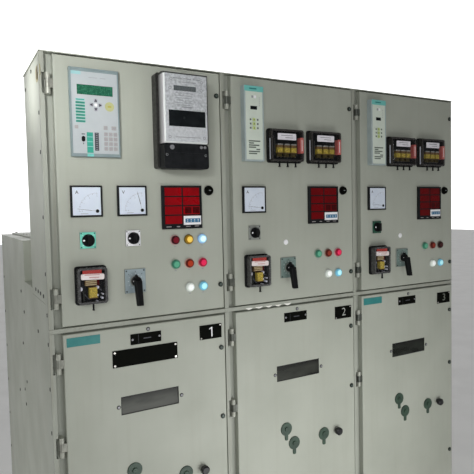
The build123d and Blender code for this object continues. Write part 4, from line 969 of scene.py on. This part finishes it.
def energy_meter_face():
    form = lv_form("energy_meter_face", 1, "energy_meter_body")
    front = ENERGY_BASE[2] + ENERGY_BODY[2]
    sunk, low, high = front - DISPLAY_POCKET, front - 0.15, front + MARK_RISE
    form.about(moved(ENERGY, BODY_SHIFT, ENERGY_BASE[1] / 2 - BODY_DROP - ENERGY_BODY[1] / 2))
    form.plate(-4.5, 61.5, (77, 16), sunk, sunk + 0.6, "lcd_grey")
    form.plate(2, -33, (127, 51), sunk, sunk + 0.8, "window_black", 0.3)
    form.plate(-9, -31, (7, 9, 2), sunk + 0.8, sunk + 1, "meter_black")
    for row in range(6):
        for u, width in ((-26 + 4 * (row % 2), 24), (8 - 3 * (row % 3), 30 - 6 * (row % 2))):
            form.plate(u, 46 - 7.5 * row, (width, 1.5), low, high, "mark_grey")
    for u, width in ((-30, 30), (4, 26), (36, 24)):
        form.plate(u, 92, (width, 2.4), low, high, "mark_grey")
    form.plate(4, 81, (60, 1.8), low, high, "mark_grey")
    for at in ((-52, 88), (54, 86), (-56, 60), (52, 60), (-60, -92), (60, -92)):
        form.lathe(at, [(4.8, low), (4.8, high)], "mark_grey", 20)
        form.lathe(at, [(3.4, low), (3.4, high + MARK_RISE / 2)], "meter_silver", 20)
    form.plate(2, -92, (86, 1.8), low, high, "mark_grey")
    form.plate(0, 3, (34, 3), low, high, "mark_grey")
    form.build()
    seals = lv_form("meter_seals", 1, "energy_meter_cover")
    cover = ENERGY_BASE[2] + COVER_RISE
    seals.about(ENERGY)
    for u, v, radius in ((-48, -88, 7.6), (54, -86, 5), (67, -86, 4.6)):
        rings = [(radius, cover - 14), (radius, cover + 0.6), (radius - 1, cover + 1.4)]
        seals.lathe((u, v), rings, "seal_grey", 24)
        seals.lathe((u, v), [(radius * 0.4, cover + 1.4), (radius * 0.3, cover + 1.7)], "mark_grey", 16)
    for u in (-66, 69):
        seals.lathe((u, -112), [(4.2, cover - 1), (4.2, cover + 0.3), (3.4, cover + 0.8)], "mark_grey", 18)
        seals.lathe((u, -112), [(3, cover), (2.6, cover + 1.3)], "meter_black", 18)
    seals.build()
    left = surface(Vector((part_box("energy_meter_cover_1")[0].x, FACE_Y, lv_low.z)), -BACK, UP)
    side = Form("meter_side_seal", "lv_door_1", left, "energy_meter_cover")
    side.lathe((-58, ENERGY[1] - 84), [(7, -0.4), (7, 0.8), (6, 1.4)], "seal_grey", 24)
    side.build()


# Plates and fasteners of the breaker doors
NUMBER_PLATE, TAG, LONG_PLATE, MAKER_PLATE = (536, -54), (300, -43), (298, -99), (99, -25)
WINDOW, GASKET, GASKET_LAP, PLATE = (310, -254), (200.2, 60.2), 2.6, 1.6
# The third bay's numeral is a darker grey than the second's: painted shade.
NUMERALS = {2: ("numeral_grey", -0.7), 3: ("numeral_shaded", -0.2)}  # and how far each is thinned
HV_FASTENERS = [(308, -15), (202, -256), (420, -257)]
LV_LATCH_X, HV_LATCH_X, LV_LATCHES = 579, 576, (84, 739)
HV_LATCHES = (-115, -363, -780, -1028)
LATCH_EYE = [(4.6, 2), (4.6, 5), (3.8, 5.5)]


def door_plates(bay):
    form = hv_form("number_plate", bay, "door_cover")
    form.about(NUMBER_PLATE)
    form.plate(0, 0, (85, 50, 1), 0, PLATE, "plate_black", 0.3)
    if bay == 1:
        form.bar((4, 16.5), (4, -17.5), 4.2, PLATE, 1.8, "white_plate")
        form.bar((4, 15.5), (-5.5, 9.5), 3.2, PLATE, 1.9, "white_plate")
    else:
        form.text(str(bay), (3, 0), 46, PLATE, 1.8, *NUMERALS[bay])
    for at in ((37, 20), (-37, -20)):
        form.lathe(at, [(3, PLATE), (3, 2.2), (1.8, 3)], "nickel", 18)
    form.build()
    tag = hv_form("duty_plate", bay, "door_cover")
    tag.about(TAG)
    tag.plate(0, 0, (105, 35, 1), 0, PLATE, "plate_black", 0.3)
    tag.plate(-26, 0, (0.8, 30), PLATE, 1.75, "ink")
    tag.plate(4, 0, (26, 3.2), PLATE, 1.75, "ink")
    for at in ((-46, 0), (46, 1)):
        tag.screw(at, 3.6, PLATE, 3.2, "seal_grey", 70)
    tag.build()
    if bay == 1:
        title = hv_form("title_plate", bay, "door_cover")
        title.about(LONG_PLATE)
        title.plate(0, 0, (222, 55, 1), 0, 1.8, "plate_black", 0.4)
        corner_screws(title, (104, 21), 3.6, 1.8, 3.6, "nickel")
        title.build()
    if bay != 2:
        maker = hv_form("blank_plate", bay, "panel_paint")
        maker.about(MAKER_PLATE)
        maker.plate(0, 0, (102, 28, 1), 0, 1.2, "teal_plate", 0.3)
        maker.build()


def door_fasteners(bay):
    form = hv_form("door_fasteners", bay, "fitting_metal")
    for at in HV_FASTENERS:
        form.lathe(at, [(6.6, 0), (6.6, 1), (5.6, 1.6)], "blackened_steel", 24)
        form.screw(at, 4.4, 1.2, 2.6, "seal_grey", 15)
    for level in HV_LATCHES:
        form.lathe((HV_LATCH_X, level), LATCH_EYE, "latch_eye", 20)
    form.build()
    locks = lv_form("latch_eyes", bay, "fitting_metal")
    for level in LV_LATCHES:
        locks.lathe((LV_LATCH_X, level), LATCH_EYE, "latch_eye", 20)
    locks.build()
    gasket = hv_form("window_gasket", bay, "door_cover")
    wide, tall = GASKET
    hole = (0, 0, wide - 2 * GASKET_LAP, tall - 2 * GASKET_LAP)
    gasket.frame(WINDOW, wide, tall, hole, -1.9, -0.6, "gasket_rubber")
    gasket.build()
    if bay > 1:
        cap = lv_form("blanking_cap", bay, "switch_plate")
        cap.lathe((261, 219), [(10, 0), (10, 1.5), (8, 2.6), (5, 3)], "white_plate", 28)
        cap.build()


# Screws of the end walls, and bolts of the rear covers and the roofs. Depths are from the door face.
WALL_SCREWS = [(254, 1365), (205, 1364), (156, 1363), (100, 1361), (241, 1223), (659, 1094), (590, 951),
               (836, 848), (661, 901), (639, 845), (170, 2076), (305, 2046), (658, 1309), (588, 1234)]
WALL_SCREWS += [(46, z) for z in (1925, 1807, 1610, 1436, 1309, 1218, 1078, 940, 760, 580, 400, 220)]
WALL_SCREWS += [(1340, z) for z in range(220, 1500, 180)]
COVER_ROWS, FLAPS, FLAP_MARGIN = 3, 2, 50


def wall_screws():
    low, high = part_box("end_walls")
    for name, x, across, flip in (("left", low.x, -BACK, -1), ("right", high.x, BACK, 1)):
        face = surface(Vector((x, FACE_Y, 0)), across, UP)
        form = Form(f"wall_screws_{name}", "board", face, "fitting_metal")
        for depth, level in WALL_SCREWS:
            form.screw((flip * depth, level), 6.2, -0.5, 1.6, "blackened_steel", (depth * 7 + level) % 180)
        form.build()


def rear_bolts():
    low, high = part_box("rear_covers")
    form = Form("rear_bolts", "board", surface(Vector((0, high.y, 0)), -RIGHT, UP), "fitting_metal")
    pitch = (high.z - low.z) / COVER_ROWS / MM
    for bay in BAYS:
        for row in range(COVER_ROWS):
            for u in (34, 212, 388, 566):
                for v in (26, pitch - 30):
                    at = (-(bay_left(bay) / MM + u), low.z / MM + row * pitch + v)
                    form.lathe(at, [(9, -1), (9, 0.6)], "nickel", 20)
                    form.prism(at, circle(6.4, 6), 0.6, 4.6, "nickel", 0.6, 10)
    form.build()


def roof_bolts():
    high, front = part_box("hv_roofs")[1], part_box("busbar_fronts")[0].y
    form = Form("roof_bolts", "board", surface(Vector((0, 0, high.z)), RIGHT, BACK), "fitting_metal")
    length = ((high.y - front) / MM - 3 * FLAP_MARGIN) / FLAPS
    for bay in BAYS:
        for flap in range(FLAPS):
            start = front / MM + FLAP_MARGIN + flap * (length + FLAP_MARGIN)
            for u in (70, 300, 530):
                for v in (20, length - 20):
                    at = (bay_left(bay) / MM + u, start + v)
                    form.lathe(at, [(8, -1), (8, 0.4)], "nickel", 18)
                    form.prism(at, circle(5.6, 6), 0.4, 4, "nickel", 0.5)
    form.build()


def torn_strips():
    """Scraps of white film left in the gap under the band of the middle cubicle."""
    rng = random.Random(7)
    band = surface(Vector((bay_left(2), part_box("trim_strips")[0].y, hv_high.z)), RIGHT, UP)
    form = Form("torn_film", "board", band, "panel_paint")
    for index in range(5):
        middle, half = 98 + index * 42.5, 16 + rng.uniform(-2, 2)
        sag, body, lift = 6.5 + rng.uniform(-1, 1), 6.4 + rng.uniform(-0.8, 0.8), rng.uniform(-1, 1)
        bend = [(step / 6, math.cos(math.pi * step / 12)) for step in range(-6, 7)]
        under = [(middle + half * along, 10 + lift - sag * deep) for along, deep in bend]
        over = [(u * 0.98 + middle * 0.02, v + 0.8 + body * deep) for (u, v), (_, deep) in zip(under, bend)]
        form.prism((0, 0), under + over[::-1], 0.05, 1, "torn_film")
    form.build()


def corner_fitting():
    """The small olive metal clip near the top of the left wall."""
    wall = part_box("end_walls")[0].x
    form = Form("corner_clip", "board", surface(Vector((wall, FACE_Y, 0)), -BACK, UP), "fitting_metal")
    form.plate(-42, 2043, (80, 48, 18), -0.5, 1, "pale_brass", 0.4)
    form.plate(-40, 2050, (40, 24, 8), 0.9, 2.5, "olive_dark", 0.6, 20)
    form.plate(-52, 2033, (22, 16, 6), 0.9, 2.3, "olive_dark", 0.6, -30)
    form.build()


relay_front()
energy_meter_face()
knob_marks()
for bay in BAYS:
    if bay > 1:
        feeder_front(bay)
    for dress in (dials, multimeter, covered_relays, lamps, switch_labels, door_plates, door_fasteners):
        dress(bay)
wall_screws()
rear_bolts()
roof_bolts()
torn_strips()
corner_fitting()


# Camera, at the photograph's place and angle
def look():
    data = bpy.data.cameras.new("camera")
    data.lens, data.sensor_width, data.clip_start, data.clip_end = 39.71, 36, 0.01, 200
    camera = placed("camera", data)
    yaw, pitch, roll = math.radians(29.31), math.radians(-2.87), math.radians(-1.25)
    aim = Matrix.Rotation(-yaw, 4, "Z") @ Matrix.Rotation(math.pi / 2 + pitch, 4, "X")
    place = Matrix.Translation((-1.1638, -2.2851, 1.617))
    camera.matrix_world = place @ aim @ Matrix.Rotation(roll, 4, "Z")
    bpy.context.scene.camera = camera


def lamp_panel(name, place, target, size, power, spread):
    data = bpy.data.lights.new(name, "AREA")
    data.shape, data.size, data.energy, data.spread = "DISK", size, power, math.radians(spread)
    light = placed(name, data)
    light.location = place
    light.rotation_euler = (Vector(target) - Vector(place)).to_track_quat("-Z", "Y").to_euler()


def studio():
    world = bpy.data.worlds.new("studio")
    bpy.context.scene.world = world
    world.use_nodes = True
    sky = Nodes(world.node_tree)
    towards = sky.add("ShaderNodeVectorMath")
    towards.operation = "DOT_PRODUCT"
    sky.feed(towards.inputs[0], sky.add("ShaderNodeTexCoord").outputs["Generated"])
    towards.inputs[1].default_value = (0.49, 0.87, 0)
    backdrop = sky.tree.nodes["Background"].inputs
    backdrop["Color"].default_value = (1, 1, 1, 1)
    sky.feed(backdrop["Strength"], sky.span(towards.outputs["Value"], 0.55, 0.85, 0.24, 1.7))
    floor = Finish("studio_floor", Roughness=0.75)
    patches = floor.span(floor.noise(0.4), 0.4, 0.6)
    floor.give("Base Color", floor.mix(patches, (0.86, 0.86, 0.85, 1), (0.9, 0.9, 0.89, 1)))
    mesh = bmesh.new()
    bmesh.ops.create_grid(mesh, x_segments=8, y_segments=8, size=30)
    data = bpy.data.meshes.new("studio_floor")
    mesh.to_mesh(data)
    mesh.free()
    data.materials.append(FINISHES["studio_floor"])
    ground = placed("studio_floor", data)
    lamp_panel("corner_lamp", (-1.75, -0.35, 2.3), (-0.9, -0.5, 2.02), 0.15, 0.22, 24)
    lamp_panel("side_fill", (-3.5, -0.2, 0.3), (-0.9, -0.1, 0.35), 1.2, 4.2, 80)
    lamp_panel("window_light", (-1.6, -2.6, 2), (-0.75, -0.65, 1.8), 1, 6.3, 120)
    lamp_panel("edge_light", (-1.9, -2.5, 2.2), (-0.86, -0.65, 1.98), 0.3, 0.8, 28)
    lamp_panel("low_fill", (0.1, -2, 0.25), (0, -0.65, 0.5), 1.4, 8.2, 110)
    bpy.context.scene.view_settings.view_transform = "Standard"


look()
studio()
